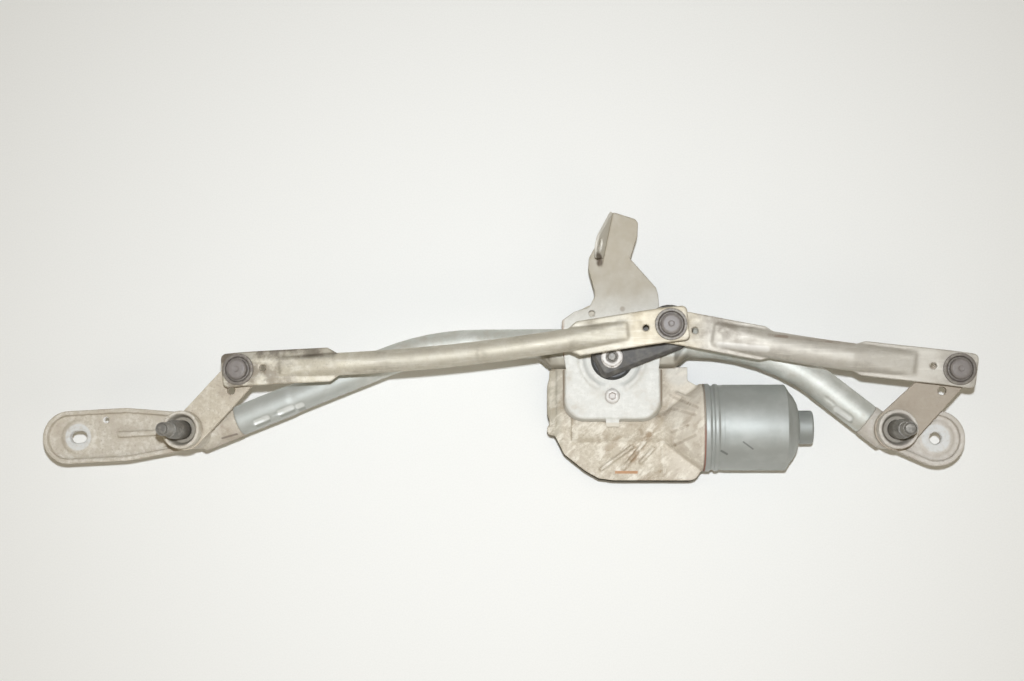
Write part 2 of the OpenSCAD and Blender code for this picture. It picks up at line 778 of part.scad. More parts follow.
module gear_housing() color([0.68, 0.63, 0.56]) {
    difference() {
        union() {
            difference() {
                translate([0, 0, cover_h]) linear_extrude(roof_z - cover_h) house_shape();
                translate([0, 0, cover_h - overlap])
                    linear_extrude(roof_z - cover_h - house_wall + overlap) house_shape(house_wall);
            }
            bell();
            worm_tunnel();
            house_bosses();
            house_ribs();
        }
        on_motor_axis(can_x - bell_l) cylinder(r = bell_hole_r, h = bell_l + can_spigot_l + overlap);
        on_motor_axis(can_x - bell_l - bell_cone_l - 0.1)
            cylinder(r1 = tunnel_r, r2 = bell_hole_r, h = bell_cone_l + 0.2);
        on_motor_axis(-worm_end - 2) cylinder(r = tunnel_r, h = can_x + worm_end - bell_l);
        translate([0, 0, cover_h]) cylinder(r = chamber_r, h = roof_z - cover_h - house_wall);
        translate([0, 0, roof_z - house_wall - overlap])
            cylinder(r = output_bush_r + seat, h = plate_top - roof_z + 2 * tower_rise + house_wall);
        for (turn = screw_turns) rotate(turn) translate([screw_circle_r, 0, plate_top - screw_l - 1])
            cylinder(d = screw_d + 2 * seat, h = screw_l + 2);
    }
}

// Cone from the worm tunnel to the round flange for the can, with the spigot that the can sits on
module bell() {
    on_motor_axis(can_x - bell_l) cylinder(r = bell_r, h = bell_l - gasket_t);
    on_motor_axis(can_x - bell_l) cylinder(r = can_d / 2 - can_wall - seat, h = bell_l + can_spigot_l);
    on_motor_axis(can_x - bell_l - bell_cone_l)
        cylinder(r1 = tunnel_r + house_wall, r2 = bell_r, h = bell_cone_l);
    for (gusset = house_gussets) gusset_fin(gusset[0], gusset[1]);
}

// Upright fin over the roof that rises from one plan point to the flange above another
module gusset_fin(from, to) {
    length = norm(to - from);
    reach = abs(to[1] + motor_drop);
    top = motor_z + sqrt(bell_r * bell_r - reach * reach) - 2;
    at(from, roof_z - 1, heading(from, to)) rotate([90, 0, 0]) linear_extrude(rib_w / 2, center = true)
        polygon([[0, 0], [length, 0], [length, top - roof_z], [0, 2]]);
}

module worm_tunnel() {
    on_motor_axis(-worm_end - 2 - house_wall)
        cylinder(r = tunnel_r + house_wall, h = can_x + worm_end - bell_l - bell_cone_l / 2);
}

// Bosses for the plate screws and the tower round the output shaft
module house_bosses() {
    for (turn = screw_turns) rotate(turn) translate([screw_circle_r, 0, roof_z - house_wall])
        cylinder(r = screw_boss_r, h = house_wall + (turn < 0 ? flat_t : 0));
    translate([0, 0, roof_z - house_wall])
        cylinder(d = tower_d, h = plate_top - roof_z + tower_rise + house_wall);
}

// Slanting ribs and the clip seat on the roof, and a lug on the left wall
module house_ribs() {
    for (rib = roof_ribs) at(rib[0], roof_z - 1, heading(rib[0], rib[1])) translate([0, -roof_rib_w / 2, 0])
        cube([norm(rib[1] - rib[0]), roof_rib_w, roof_rib_h + 1]);
    translate([clip_seat_x, house_bottom, roof_z - clip_seat[2] + 1.2]) cube(clip_seat);
    at(lug_at, roof_z - 12) cylinder(r = lug_r, h = 11);
}

module gear_cover() color([0.16, 0.16, 0.17]) {
    difference() {
        union() {
            linear_extrude(cover_h) house_shape(-cover_lip);
            translate([plug_x - plug_w / 2, 0, 0]) cube([plug_w, plug_y + 2, cover_h]);
            translate([plug_x - plug_w / 2, plug_y, 0]) cube([plug_w, plug_l, plug_h]);
        }
        translate([0, 0, cover_wall]) linear_extrude(cover_h) house_shape(house_wall);
        translate([plug_x - plug_w / 2 + cover_wall, plug_y + cover_wall, cover_wall])
            cube([plug_w - 2 * cover_wall, plug_l, plug_h - 2 * cover_wall]);
        on_motor_axis(can_x - bell_l) cylinder(r = bell_r + pass_gap, h = bell_l + overlap);
        on_motor_axis(can_x - bell_l - bell_cone_l - 1)
            cylinder(r1 = tunnel_r + house_wall, r2 = bell_r + pass_gap, h = bell_cone_l + 1);
    }
    board_places() cylinder(r = post_r, h = board_z - cover_wall + overlap);
}

// Places of the posts under the corners of the control board
module board_places() {
    for (x = [post_in, board_l - post_in], y = [post_in, board_w - post_in])
        translate([board_at[0] + x, board_at[1] + y, cover_wall - overlap]) children();
}

module connector_pins() color([0.78, 0.70, 0.45]) {
    pitch = (plug_w - 2 * cover_wall) / pin_count;
    first_x = plug_x - (pin_count - 1) / 2 * pitch - pin_w / 2;
    for (i = [0:pin_count - 1])
        translate([first_x + i * pitch, plug_y + cover_wall, (plug_h - pin_t) / 2])
            cube([pin_w, pin_l, pin_t]);
}

module control_board() color([0.12, 0.35, 0.20]) {
    at(board_at, board_z) cube([board_l, board_w, board_t]);
}

module motor_can() color([0.58, 0.62, 0.64]) on_motor_axis(can_x) difference() {
    rotate_extrude() can_profile(0);
    rotate_extrude() can_profile(can_wall);
}

// Half section of the can: radius against length, drawn in by inset, with two rings at its open end outside
module can_profile(inset) {
    r = can_d / 2 - inset;
    boss_r = can_boss_d / 2 - inset;
    cone_x = can_l + can_cone_l;
    rings = inset > 0 ? [[r, -overlap]] : [
        [r + 0.8, 0], [r + 0.8, 4], [r, 4], [r, 7], [r + 0.6, 7], [r + 0.6, 9.5], [r, 9.5]
    ];
    polygon(concat([[0, inset > 0 ? -overlap : 0]], rings, [
        [r, can_l - inset / 2], [boss_r + 4, cone_x - inset], [boss_r, cone_x - inset],
        [boss_r, cone_x + can_boss_l - inset], [0, cone_x + can_boss_l - inset]
    ]));
}

module can_gasket() color([0.45, 0.22, 0.15]) on_motor_axis(can_x - gasket_t) difference() {
    cylinder(r = bell_r, h = gasket_t);
    translate([0, 0, -overlap]) cylinder(r = can_d / 2 - can_wall, h = gasket_t + 2 * overlap);
}

module magnets() color([0.25, 0.25, 0.26]) on_motor_axis(core_x - 3) {
    for (turn = [0, 180]) rotate(turn - 65) rotate_extrude(angle = 130)
        translate([magnet_r - magnet_t, 0]) square([magnet_t, core_l + 6]);
}

module brush_plate() color([0.35, 0.28, 0.20]) on_motor_axis(can_x + can_spigot_l + 1) difference() {
    cylinder(r = magnet_r, h = 4);
    translate([0, 0, -overlap]) cylinder(r = commutator_r + 1.5, h = 4 + 2 * overlap);
}

module armature_bushes() color([0.72, 0.58, 0.36]) {
    bush_h = 8;
    places = [[can_end_x - can_wall - bush_h, can_boss_d / 2 - can_wall], [worm_half_l + 3, tunnel_r]];
    for (place = places) on_motor_axis(place[0]) difference() {
        cylinder(r = place[1] - seat, h = bush_h);
        translate([0, 0, -overlap]) cylinder(r = arm_shaft_r + running, h = bush_h + 2 * overlap);
    }
}

module output_bush() color([0.72, 0.58, 0.36]) difference() {
    translate([0, 0, roof_z - house_wall])
        cylinder(r = output_bush_r, h = plate_top - roof_z + tower_rise + house_wall);
    translate([0, 0, roof_z - house_wall - overlap]) cylinder(r = shaft_d / 2 + running, h = 40);
}

module shaft_cap() color([0.10, 0.10, 0.11]) difference() {
    translate([0, 0, plate_top]) cylinder(r1 = cap_r, r2 = cap_r - 2, h = crank_lift - pass_gap);
    translate([0, 0, plate_top - overlap])
        cylinder(r = tower_d / 2 + seat, h = tower_rise + overlap + seat);
    translate([0, 0, plate_top - overlap]) cylinder(r = shaft_d / 2 + 2 * pass_gap, h = 20);
}

// Crank body

module output_shaft() color([0.55, 0.55, 0.57]) {
    step_z = crank_top - hub_step;
    translate([0, 0, shaft_foot_z]) cylinder(d = shaft_d, h = step_z - shaft_foot_z);
    translate([0, 0, step_z - overlap]) cylinder(d = shaft_thread_d, h = shaft_end_z - step_z + overlap);
}

// One tooth and its gap in plan, as points at rising angles
function tooth_points(i) = let (step = 360 / wheel_teeth, tip = wheel_r, root = wheel_r - 2.4) [
    for (p = [[0.10, root], [0.25, tip], [0.60, tip], [0.75, root]])
        p[1] * [cos((i + p[0]) * step), sin((i + p[0]) * step)]
];

module worm_wheel() color([0.85, 0.83, 0.76]) {
    bore_r = shaft_d / 2 + seat;
    difference() {
        union() {
            translate([0, 0, wheel_z]) linear_extrude(wheel_w) difference() {
                polygon([for (i = [0:wheel_teeth - 1], p = tooth_points(i)) p]);
                circle(wheel_r - 6);
            }
            translate([0, 0, motor_z - 2]) cylinder(r = wheel_r - 5.5, h = 4);
            translate([0, 0, wheel_z]) cylinder(r = bore_r + 4, h = wheel_w);
        }
        translate([0, 0, wheel_z - overlap]) cylinder(r = bore_r, h = wheel_w + 2 * overlap);
    }
}

module crank_arm() color([0.22, 0.22, 0.23]) {
    hub_w = 23;
    hub_end = 13;
    hub_corner_r = 4;
    pin_r = 17.5;
    draft = 2.5;
    side_h = 2;
    difference() {
        union() {
            translate([0, 0, hub_z]) cylinder(d = hub_w - 1, h = crank_t - arm_t + overlap);
            rotate(crank_angle) translate([0, 0, crank_top - arm_t]) hull($fn = hull_fn) {
                for (slab = [[0, side_h], [draft, arm_t]]) linear_extrude(slab[1]) {
                    translate([slab[0] - hub_end, slab[0] - hub_w / 2])
                        rounded_box([hub_end, hub_w - 2 * slab[0]], hub_corner_r);
                    translate([crank_r, 0]) circle(pin_r - slab[0]);
                }
            }
        }
        translate([0, 0, hub_z - overlap])
            cylinder(d = shaft_d + 2 * seat, h = crank_t - hub_step + overlap + seat);
        translate([0, 0, hub_z]) cylinder(d = shaft_thread_d + 2 * seat, h = crank_t + overlap);
        at(crank_pin, crank_top - arm_t - overlap) cylinder(r = rivet_r + seat, h = arm_t + 2 * overlap);
    }
}

module crank_nut() color([0.80, 0.80, 0.78]) translate([0, 0, crank_top]) difference() {
    union() {
        cylinder(r = 8, h = nut_flange_t);
        cylinder(r = nut_af / 2 / cos(30), h = nut_h, $fn = 6);
    }
    translate([0, 0, -overlap]) cylinder(d = shaft_thread_d + 2 * seat, h = nut_h + 2 * overlap);
}

// Two balls on one pin, riveted into the crank
module crank_ball_pin() color([0.62, 0.62, 0.63]) at(crank_pin) {
    translate([0, 0, low_ball_z]) sphere(ball_r);
    translate([0, 0, high_ball_z]) sphere(ball_r);
    translate([0, 0, crank_top]) cylinder(r = ball_neck_r, h = high_ball_z - crank_top);
    translate([0, 0, crank_top]) cylinder(r = foot_r, h = foot_t);
    translate([0, 0, crank_top - arm_t]) cylinder(r = rivet_r, h = arm_t + overlap);
    translate([0, 0, crank_top - arm_t - rivet_head_t]) cylinder(r = rivet_head_r, h = rivet_head_t);
}

// Links and ball joints

// Tube with two pressed ends, from the inner ball at the origin along +X, about its middle plane
module link_rod(length, rod_d) {
    difference() {
        union() {
            for (end = [0, 1]) translate([end * length, 0, 0]) mirror([end, 0, 0]) link_end(rod_d);
            translate([link_wide_l + link_shoulder_l, 0, 0]) along_x()
                cylinder(d = rod_d, h = length - 2 * (link_wide_l + link_shoulder_l));
        }
        translate([link_wide_l + link_shoulder_l, 0, 0]) along_x()
            cylinder(d = rod_d - 2 * link_wall, h = length - 2 * (link_wide_l + link_shoulder_l));
        translate([link_wide_l + link_shoulder_l + 12, 0, 0]) cylinder(d = 4, h = rod_d);
        for (x = [0, length]) translate([x, 0, 0])
            cylinder(d = socket_d + 2 * seat, h = 2 * link_t, center = true);
        for (x = [18, length - 18]) translate([x, 0, 0]) cylinder(d = 4.5, h = 2 * link_t, center = true);
    }
}

// Pressed end: a flat tongue that runs on as flanges beside a bulge, up to the shoulder of the round rod
module link_end(rod_d) {
    slice = 0.01;
    corner_r = 4;
    half_w = link_end_w / 2;
    neck_x = link_wide_l + link_shoulder_l;
    translate([0, 0, -link_t / 2]) linear_extrude(link_t) polygon(concat(
        arc([corner_r - link_overhang, half_w - corner_r], corner_r, 90, 180),
        arc([corner_r - link_overhang, corner_r - half_w], corner_r, 180, 270),
        [[link_wide_l, -half_w], [neck_x, 1 - rod_d / 2], [neck_x, rod_d / 2 - 1], [link_wide_l, half_w]]
    ));
    hull($fn = hull_fn) {
        translate([link_flat_l, 0, 0]) along_x() linear_extrude(slice, center = true)
            rotate(90) slot_shape(rod_d - 2, link_pad_t);
        translate([neck_x, 0, 0]) along_x() cylinder(d = rod_d, h = slice, center = true, $fn = hull_fn);
    }
}

module left_link_rod() color([0.78, 0.74, 0.64])
    at(crank_pin, high_ball_z, heading(crank_pin, left_ball))
        link_rod(norm(left_ball - crank_pin), left_rod_d);

module right_link_rod() color([0.80, 0.78, 0.72])
    at(crank_pin, low_ball_z, heading(crank_pin, right_ball))
        link_rod(norm(right_ball - crank_pin), right_rod_d);

// Plastic socket round a ball at the origin; the closed one has a crown over the ball
module ball_socket(open_top = false) {
    body_r = socket_d / 2;
    collar_z = link_t / 2;
    crown_r = socket_crown_d / 2;
    difference() {
        union() {
            translate([0, 0, -socket_depth])
                cylinder(r = body_r, h = socket_depth + collar_z + collar_h - 0.8);
            translate([0, 0, collar_z]) difference() {
                cylinder(d = socket_collar_d, h = collar_h);
                translate([0, 0, collar_h - 0.8]) cylinder(r = body_r, h = 2);
            }
            if (open_top) cylinder(r = crown_r, h = open_socket_h);
            else rotate_extrude() polygon([
                [0, 0], [crown_r, 0], [crown_r, crown_h - 1.6], [crown_r - 1.6, crown_h], [0, crown_h]
            ]);
        }
        sphere(ball_r + running);
        translate([0, 0, -socket_depth - overlap]) cylinder(r = socket_mouth_r, h = socket_depth);
        if (open_top) cylinder(r = socket_mouth_r, h = open_socket_h + overlap);
    }
}

module left_inner_socket() color([0.36, 0.33, 0.32]) at(crank_pin, high_ball_z) ball_socket();

module left_outer_socket() color([0.36, 0.33, 0.32]) at(left_ball, high_ball_z) ball_socket();

module right_inner_socket() color([0.36, 0.33, 0.32])
    at(crank_pin, low_ball_z) ball_socket(open_top = true);

module right_outer_socket() color([0.36, 0.33, 0.32]) at(right_ball, low_ball_z) ball_socket();

// Ball and neck that stand on a stud's foot
module ball_stud(ball_z, lever_top) {
    neck_z = lever_top + foot_t + pass_gap;
    translate([0, 0, ball_z]) sphere(ball_r);
    translate([0, 0, neck_z]) cylinder(r = ball_neck_r, h = ball_z - neck_z);
}

module left_ball_stud() color([0.62, 0.62, 0.63])
    at(left_ball) ball_stud(high_ball_z, left_lever_z + lever_t);

module right_ball_stud() color([0.62, 0.62, 0.63])
    at(right_ball) ball_stud(low_ball_z, right_lever_z + lever_t);

// Levers and spindles

module lever(length, lever_z) {
    difference() {
        translate([0, 0, lever_z]) linear_extrude(lever_t)
            tangent_bar(length, lever_root_w / 2, lever_tip_w / 2);
        translate([0, 0, lever_z - overlap]) cylinder(r = spindle_r + seat, h = lever_t + 2 * overlap);
        translate([length, 0, lever_z - overlap]) cylinder(r = rivet_r + seat, h = lever_t + 2 * overlap);
        translate([length - lever_hole_in, -lever_hole_off, lever_z - overlap])
            cylinder(d = lever_hole_d, h = lever_t + 2 * overlap);
    }
}

module left_lever() color([0.74, 0.70, 0.62])
    at(left_spindle, 0, lever_angle) lever(left_lever_l, left_lever_z);

module right_lever() color([0.74, 0.70, 0.62])
    at(right_spindle, 0, lever_angle) lever(right_lever_l, right_lever_z);

// Spindle from below its barrel to its threaded tip
module spindle(lever_z, barrel_l) {
    bottom = lever_z - washer_t - bush_flange_t - barrel_l - bush_flange_t - spindle_tail;
    cup_top = lever_z + lever_t + cup_h;
    translate([0, 0, bottom]) cylinder(r = spindle_r, h = cup_top + stem_l - bottom);
    translate([0, 0, cup_top + stem_l]) cylinder(r1 = spindle_r, r2 = tip_r + 0.8, h = taper_l);
    translate([0, 0, cup_top + stem_l + taper_l]) cylinder(r = tip_r, h = tip_l - 1);
    translate([0, 0, cup_top + stem_l + taper_l + tip_l - 1]) cylinder(r1 = tip_r, r2 = tip_r - 1, h = 1);
}

module left_spindle() color([0.40, 0.40, 0.41]) at(left_spindle) spindle(left_lever_z, left_barrel_l);

module right_spindle() color([0.40, 0.40, 0.41]) at(right_spindle) spindle(right_lever_z, right_barrel_l);

// Cup on the lever round the spindle, with a tapered recess
module cup() {
    floor_h = 3;
    lip = 2;
    rotate_extrude() polygon([
        [spindle_r + seat, 0], [cup_d / 2, 0], [cup_d / 2, cup_h - 1], [cup_d / 2 - 0.7, cup_h],
        [cup_d / 2 - lip, cup_h], [spindle_r + 3, floor_h], [spindle_r + seat, floor_h]
    ]);
}

module left_cup() color([0.60, 0.57, 0.52]) at(left_spindle, left_lever_z + lever_t) cup();

module right_cup() color([0.60, 0.57, 0.52]) at(right_spindle, right_lever_z + lever_t) cup();

// Foot of a ball stud: a round shoulder on the lever, riveted over below
module stud_foot(lever_z) {
    translate([0, 0, lever_z + lever_t]) cylinder(r = foot_r, h = foot_t);
    translate([0, 0, lever_z]) cylinder(r = rivet_r, h = lever_t + overlap);
    translate([0, 0, lever_z - rivet_head_t]) cylinder(r = rivet_head_r, h = rivet_head_t);
}

module left_stud_foot() color([0.62, 0.62, 0.63]) at(left_ball) stud_foot(left_lever_z);

module right_stud_foot() color([0.62, 0.62, 0.63]) at(right_ball) stud_foot(right_lever_z);

// Thrust washer under a lever and the clip that keeps the spindle in its barrel
module spindle_clip(lever_z, barrel_l) {
    barrel_foot = lever_z - washer_t - bush_flange_t - barrel_l - bush_flange_t;
    washer = [lever_z - washer_t + running, washer_t - running, clip_r + 1];
    clip = [barrel_foot - pass_gap - clip_t, clip_t, clip_r];
    for (ring = [washer, clip]) translate([0, 0, ring[0]]) difference() {
        cylinder(r = ring[2], h = ring[1]);
        translate([0, 0, -overlap]) cylinder(r = spindle_r + seat, h = ring[1] + 2 * overlap);
    }
}

module left_clip() color([0.5, 0.5, 0.5]) at(left_spindle) spindle_clip(left_lever_z, left_barrel_l);

module right_clip() color([0.5, 0.5, 0.5]) at(right_spindle) spindle_clip(right_lever_z, right_barrel_l);

// Armature

module armature_shaft() color([0.6, 0.6, 0.62]) {
    tail = can_end_x - can_wall - 1;
    on_motor_axis(-worm_end) cylinder(r = arm_shaft_r, h = tail + worm_end);
    on_motor_axis(-worm_half_l) cylinder(r = worm_r, h = 2 * worm_half_l);
}

module armature_core() color([0.42, 0.30, 0.22]) on_motor_axis(core_x) difference() {
    slots = 12;
    cylinder(r = core_r, h = core_l);
    translate([0, 0, -overlap]) cylinder(r = arm_shaft_r + seat, h = core_l + 2 * overlap);
    for (i = [0:slots - 1]) rotate(i * 360 / slots) translate([core_r - 6, -1.2, -overlap])
        cube([8, 2.4, core_l + 2 * overlap]);
}

module commutator() color([0.72, 0.45, 0.28]) on_motor_axis(can_x + 4) difference() {
    cylinder(r = commutator_r, h = commutator_l);
    translate([0, 0, -overlap]) cylinder(r = arm_shaft_r + seat, h = commutator_l + 2 * overlap);
}

left_bearing_bracket();
right_bearing_bracket();
left_bushes();
right_bushes();
frame_tube();
motor_plate();
plate_screws();
gear_housing();
gear_cover();
connector_pins();
control_board();
motor_can();
can_gasket();
magnets();
brush_plate();
armature_bushes();
output_bush();
shaft_cap();
output_shaft();
worm_wheel();
crank_arm();
crank_nut();
crank_ball_pin();
left_link_rod();
left_inner_socket();
left_outer_socket();
left_ball_stud();
right_link_rod();
right_inner_socket();
right_outer_socket();
right_ball_stud();
left_lever();
left_spindle();
left_cup();
left_stud_foot();
left_clip();
right_lever();
right_spindle();
right_cup();
right_stud_foot();
right_clip();
armature_shaft();
armature_core();
commutator();
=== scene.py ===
# %% [markdown]
# # A windscreen wiper linkage, dressed
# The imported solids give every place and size. This lesson gives them their looks: castings get
# their soft edges, turned parts their fine profiles, and every surface a worn metal or plastic.

# %% Load the frame and keep its box
import json
import math

import bmesh
import bpy
from mathutils import Matrix, Vector


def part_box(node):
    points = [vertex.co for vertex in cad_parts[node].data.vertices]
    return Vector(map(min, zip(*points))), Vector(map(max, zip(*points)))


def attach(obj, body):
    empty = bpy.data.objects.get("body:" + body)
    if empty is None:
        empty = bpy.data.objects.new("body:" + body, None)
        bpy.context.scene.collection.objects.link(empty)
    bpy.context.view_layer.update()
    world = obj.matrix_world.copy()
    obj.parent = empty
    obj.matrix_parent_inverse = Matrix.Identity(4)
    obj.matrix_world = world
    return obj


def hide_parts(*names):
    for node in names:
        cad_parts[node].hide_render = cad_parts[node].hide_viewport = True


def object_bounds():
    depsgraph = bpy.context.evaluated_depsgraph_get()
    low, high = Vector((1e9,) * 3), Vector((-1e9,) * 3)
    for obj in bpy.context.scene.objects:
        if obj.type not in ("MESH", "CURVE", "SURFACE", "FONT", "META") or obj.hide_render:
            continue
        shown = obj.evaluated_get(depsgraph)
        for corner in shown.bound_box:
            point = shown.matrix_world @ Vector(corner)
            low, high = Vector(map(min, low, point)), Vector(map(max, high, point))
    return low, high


MM = 0.001
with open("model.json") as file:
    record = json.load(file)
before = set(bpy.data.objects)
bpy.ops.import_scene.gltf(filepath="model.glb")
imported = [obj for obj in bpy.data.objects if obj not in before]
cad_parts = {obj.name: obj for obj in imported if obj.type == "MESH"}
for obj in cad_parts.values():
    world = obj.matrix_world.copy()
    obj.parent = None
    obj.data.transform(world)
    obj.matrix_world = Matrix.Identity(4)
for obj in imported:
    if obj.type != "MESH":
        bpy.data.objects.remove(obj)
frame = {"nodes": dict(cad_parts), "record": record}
cad_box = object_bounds()
record = frame["record"]
body_of_node = {n: b for b, nodes in record["behaviour"]["bodies"].items() for n in nodes}
slot_of_node = {s["node"]: s["material_slot"] for s in record["subparts"]}
print("CAD nodes:", len(body_of_node), "box:", [tuple(round(v, 4) for v in c) for c in cad_box])

# %% [markdown]
# ## Shader maths as expressions
# A finish is a small calculation over the surface: noise here, dirt in the hollows there. Wrapping
# a socket in a class with operators lets us write that calculation the way we think of it.
# Numbers stay numbers until they meet a socket, and every other node comes through one method.


# %% A socket that can be calculated with
class Sock:
    """An output socket; sums and products with it add Math nodes to its tree."""

    def __init__(self, tree, out=None):
        self.tree = tree
        self.out = out

    def node(self, kind, settings=None, sockets=None, out=0):
        """Adds a node: settings first, then values or links for its sockets."""
        made = self.tree.nodes.new(kind)
        for name, value in (settings or {}).items():
            setattr(made, name, value)
        for key, value in (sockets or {}).items():
            if isinstance(value, Sock):
                self.tree.links.new(value.out, made.inputs[key])
            else:
                made.inputs[key].default_value = value
        return Sock(self.tree, made.outputs[out])

    def math(self, operation, first, second):
        return self.node("ShaderNodeMath", {"operation": operation}, {0: first, 1: second})

    def __add__(self, other):
        return self.math("ADD", self, other)

    __radd__ = __add__

    def __mul__(self, other):
        return self.math("MULTIPLY", self, other)

    __rmul__ = __mul__

    def __sub__(self, other):
        return self.math("SUBTRACT", self, other)

    def __rsub__(self, other):
        return self.math("SUBTRACT", other, self)

    def larger(self, other):
        return self.math("MAXIMUM", self, other)

    def step(self, low, high):
        """0 below low, 1 above high, and a smooth rise between; swapped limits make it fall."""
        a, b = (0.0, 1.0) if low < high else (1.0, 0.0)
        limits = {"From Min": min(low, high), "From Max": max(low, high), "To Min": a, "To Max": b}
        smooth = {"interpolation_type": "SMOOTHSTEP"}
        return self.node("ShaderNodeMapRange", smooth, {"Value": self, **limits})

    def tint(self, under, over):
        """Colour under where this is 0, colour over where it is 1."""
        mix = {"data_type": "RGBA", "blend_type": "MIX"}
        return self.node("ShaderNodeMix", mix, {0: self, 6: under, 7: over}, out=2)


def srgb(red, green, blue):
    """A colour as it is seen on screen, in 0 to 255, as the linear one that shaders take."""
    def linear(c):
        c /= 255
        return c / 12.92 if c <= 0.04045 else ((c + 0.055) / 1.055) ** 2.4
    return (linear(red), linear(green), linear(blue), 1.0)


print("one class for the shader maths, checked on", [round(c, 3) for c in srgb(188, 188, 188)])

# %% [markdown]
# ## Patterns that every finish shares
# Old, dirty metal shows three scales at once: blotches some centimetres wide, spots of a few
# millimetres and a fine grain. Object coordinates are the frame's own metres, so a size in
# millimetres is turned into a noise scale. Hollows hold dirt and are darkened as painted shade too;
# proud edges are rubbed clean or darkened, partly as painted shade along the outline. The Ambient
# Occlusion node finds both, looking outwards for hollows and inwards for edges.
# Single marks lie at known places, so two masks work in plan: near a point, and along a line.


# %% Noise by size, hollows, edges and marks
class Finish:
    """A new material with its surface shader and the patterns that are drawn on it."""

    def __init__(self, name):
        self.material = bpy.data.materials.new(name)
        self.material.use_nodes = True
        self.tree = self.material.node_tree
        self.shader = self.tree.nodes["Principled BSDF"]
        self.sock = Sock(self.tree)
        self.place = self.sock.node("ShaderNodeTexCoord", out=3)

    def noise(self, size_mm, detail=3.0, roughness=0.55, stretch=(1, 1, 1), shift=0.0, turn=0.0):
        moved = self.sock.node("ShaderNodeMapping", {"vector_type": "TEXTURE"}, {
            "Vector": self.place, "Location": (shift, shift, shift), "Rotation": (0, 0, turn),
            "Scale": [1 / k for k in stretch]})
        return self.sock.node("ShaderNodeTexNoise", None, {
            "Vector": moved, "Scale": 1 / (size_mm * MM), "Detail": detail, "Roughness": roughness})

    def hollows(self, reach_mm):
        outward = {"samples": 6}
        return 1 - self.sock.node("ShaderNodeAmbientOcclusion", outward, {"Distance": reach_mm * MM}, out=1)

    def edges(self, reach_mm):
        inward = {"samples": 6, "inside": True, "only_local": True}
        return 1 - self.sock.node("ShaderNodeAmbientOcclusion", inward, {"Distance": reach_mm * MM}, out=1)

    def axis(self, name):
        return self.sock.node("ShaderNodeSeparateXYZ", None, {0: self.place}, out="XYZ".index(name))

    def vector(self, operation, first, second, out=0):
        return self.sock.node("ShaderNodeVectorMath", {"operation": operation}, {0: first, 1: second}, out)

    def plan(self):
        """The place on the surface with its height left out."""
        return self.vector("MULTIPLY", self.place, (1, 1, 0))

    def near(self, centre, low_mm, high_mm):
        """1 within low_mm of a plan point in metres, falling to 0 at high_mm."""
        gap = self.vector("DISTANCE", self.plan(), (centre[0], centre[1], 0), out=1)
        return gap.step(high_mm * MM, low_mm * MM)

    def stroke(self, start_mm, end_mm, width_mm):
        """1 on a round-ended line between two plan points in mm, falling to 0 at its soft sides."""
        start, run = Vector(start_mm) * MM, (Vector(end_mm) - Vector(start_mm)) * MM
        half, ahead = width_mm * MM / 2, run.normalized().to_3d()
        gone = self.vector("SUBTRACT", self.plan(), start.to_3d())
        along = self.vector("DOT_PRODUCT", gone, ahead, out=1)
        held = self.sock.node("ShaderNodeMapRange", None, {
            "Value": along, "From Max": run.length, "To Max": run.length})
        nearest = self.sock.node("ShaderNodeVectorMath", {"operation": "SCALE"}, {0: ahead, "Scale": held})
        return self.vector("DISTANCE", gone, nearest, out=1).step(half * 1.4, half * 0.5)

    def surface(self, colour, roughness, metallic=0.0, bump=None, bump_mm=0.1, strength=0.5):
        for key, value in (("Base Color", colour), ("Roughness", roughness), ("Metallic", metallic)):
            if isinstance(value, Sock):
                self.tree.links.new(value.out, self.shader.inputs[key])
            else:
                self.shader.inputs[key].default_value = value
        if bump is not None:
            dented = self.sock.node("ShaderNodeBump", None, {
                "Height": bump, "Distance": bump_mm * MM, "Strength": strength})
            self.tree.links.new(dented.out, self.shader.inputs["Normal"])
        return self.material


print("patterns ready")

# %% [markdown]
# ## Worn metal
# Most pieces here are old metal: pale spots on a base tone, dirt in blotches, dirt with painted shade
# in hollows, edges that are rubbed bare or have gone brown, where a dark edge colour also paints
# shade along the outline. One function with a few sizes and shares gives all of them, so that they
# look like pieces of one object. What only one finish has is drawn last, by its own function.

# %% Worn metal from a base, a pale tone and dirt
BLOTCH_MM, SPECK_MM, HOLLOW_MM, EDGE_MM = 22, 1.5, 6, 1.2


def worn(name, base, pale, dirt, metallic, roughness, spots=5.0, grain=0.7, grime=0.5, wear=0.5,
         bump_mm=0.12, specks=0.0, edge=None, extra=None):
    """Dirty metal: pale spots, dirt in blotches and specks, dirt and painted shade in hollows, rubbed
    edges, a fine grain.

    spots and grain are sizes in mm; grime, wear and specks are shares; extra adds the marks of one finish.
    """
    f = Finish(name)
    blotch = f.noise(BLOTCH_MM, 4).step(0.45, 0.72)
    spot = f.noise(spots, 4, 0.6, shift=3.1)
    fine = f.noise(grain, 2, shift=7.7)
    colour = spot.step(0.38, 0.68).tint(base, pale)
    # Dirt in blotches, and in the hollows dirt together with painted shade, darker where shade falls.
    soil_and_hollow_shade = (blotch * spot.step(0.35, 0.6)).larger(f.hollows(HOLLOW_MM).step(0.25, 0.75)) * grime
    colour = soil_and_hollow_shade.tint(colour, dirt)
    if specks:
        colour = (f.noise(SPECK_MM, 4, 0.7, shift=2.9).step(0.52, 0.72) * specks).tint(colour, dirt)
    # Edges are rubbed pale or take the edge colour; a dark edge colour is brown wear and painted shade
    # along the outline.
    colour = (f.edges(EDGE_MM).step(0.5, 0.85) * wear).tint(colour, edge or pale)
    if extra:
        colour = extra(f, colour)
    rough = roughness + (spot - 0.5) * 0.25 + soil_and_hollow_shade * 0.2
    return f.surface(colour, rough, metallic, fine + spot * 1.5, bump_mm)


print("worn metal ready")

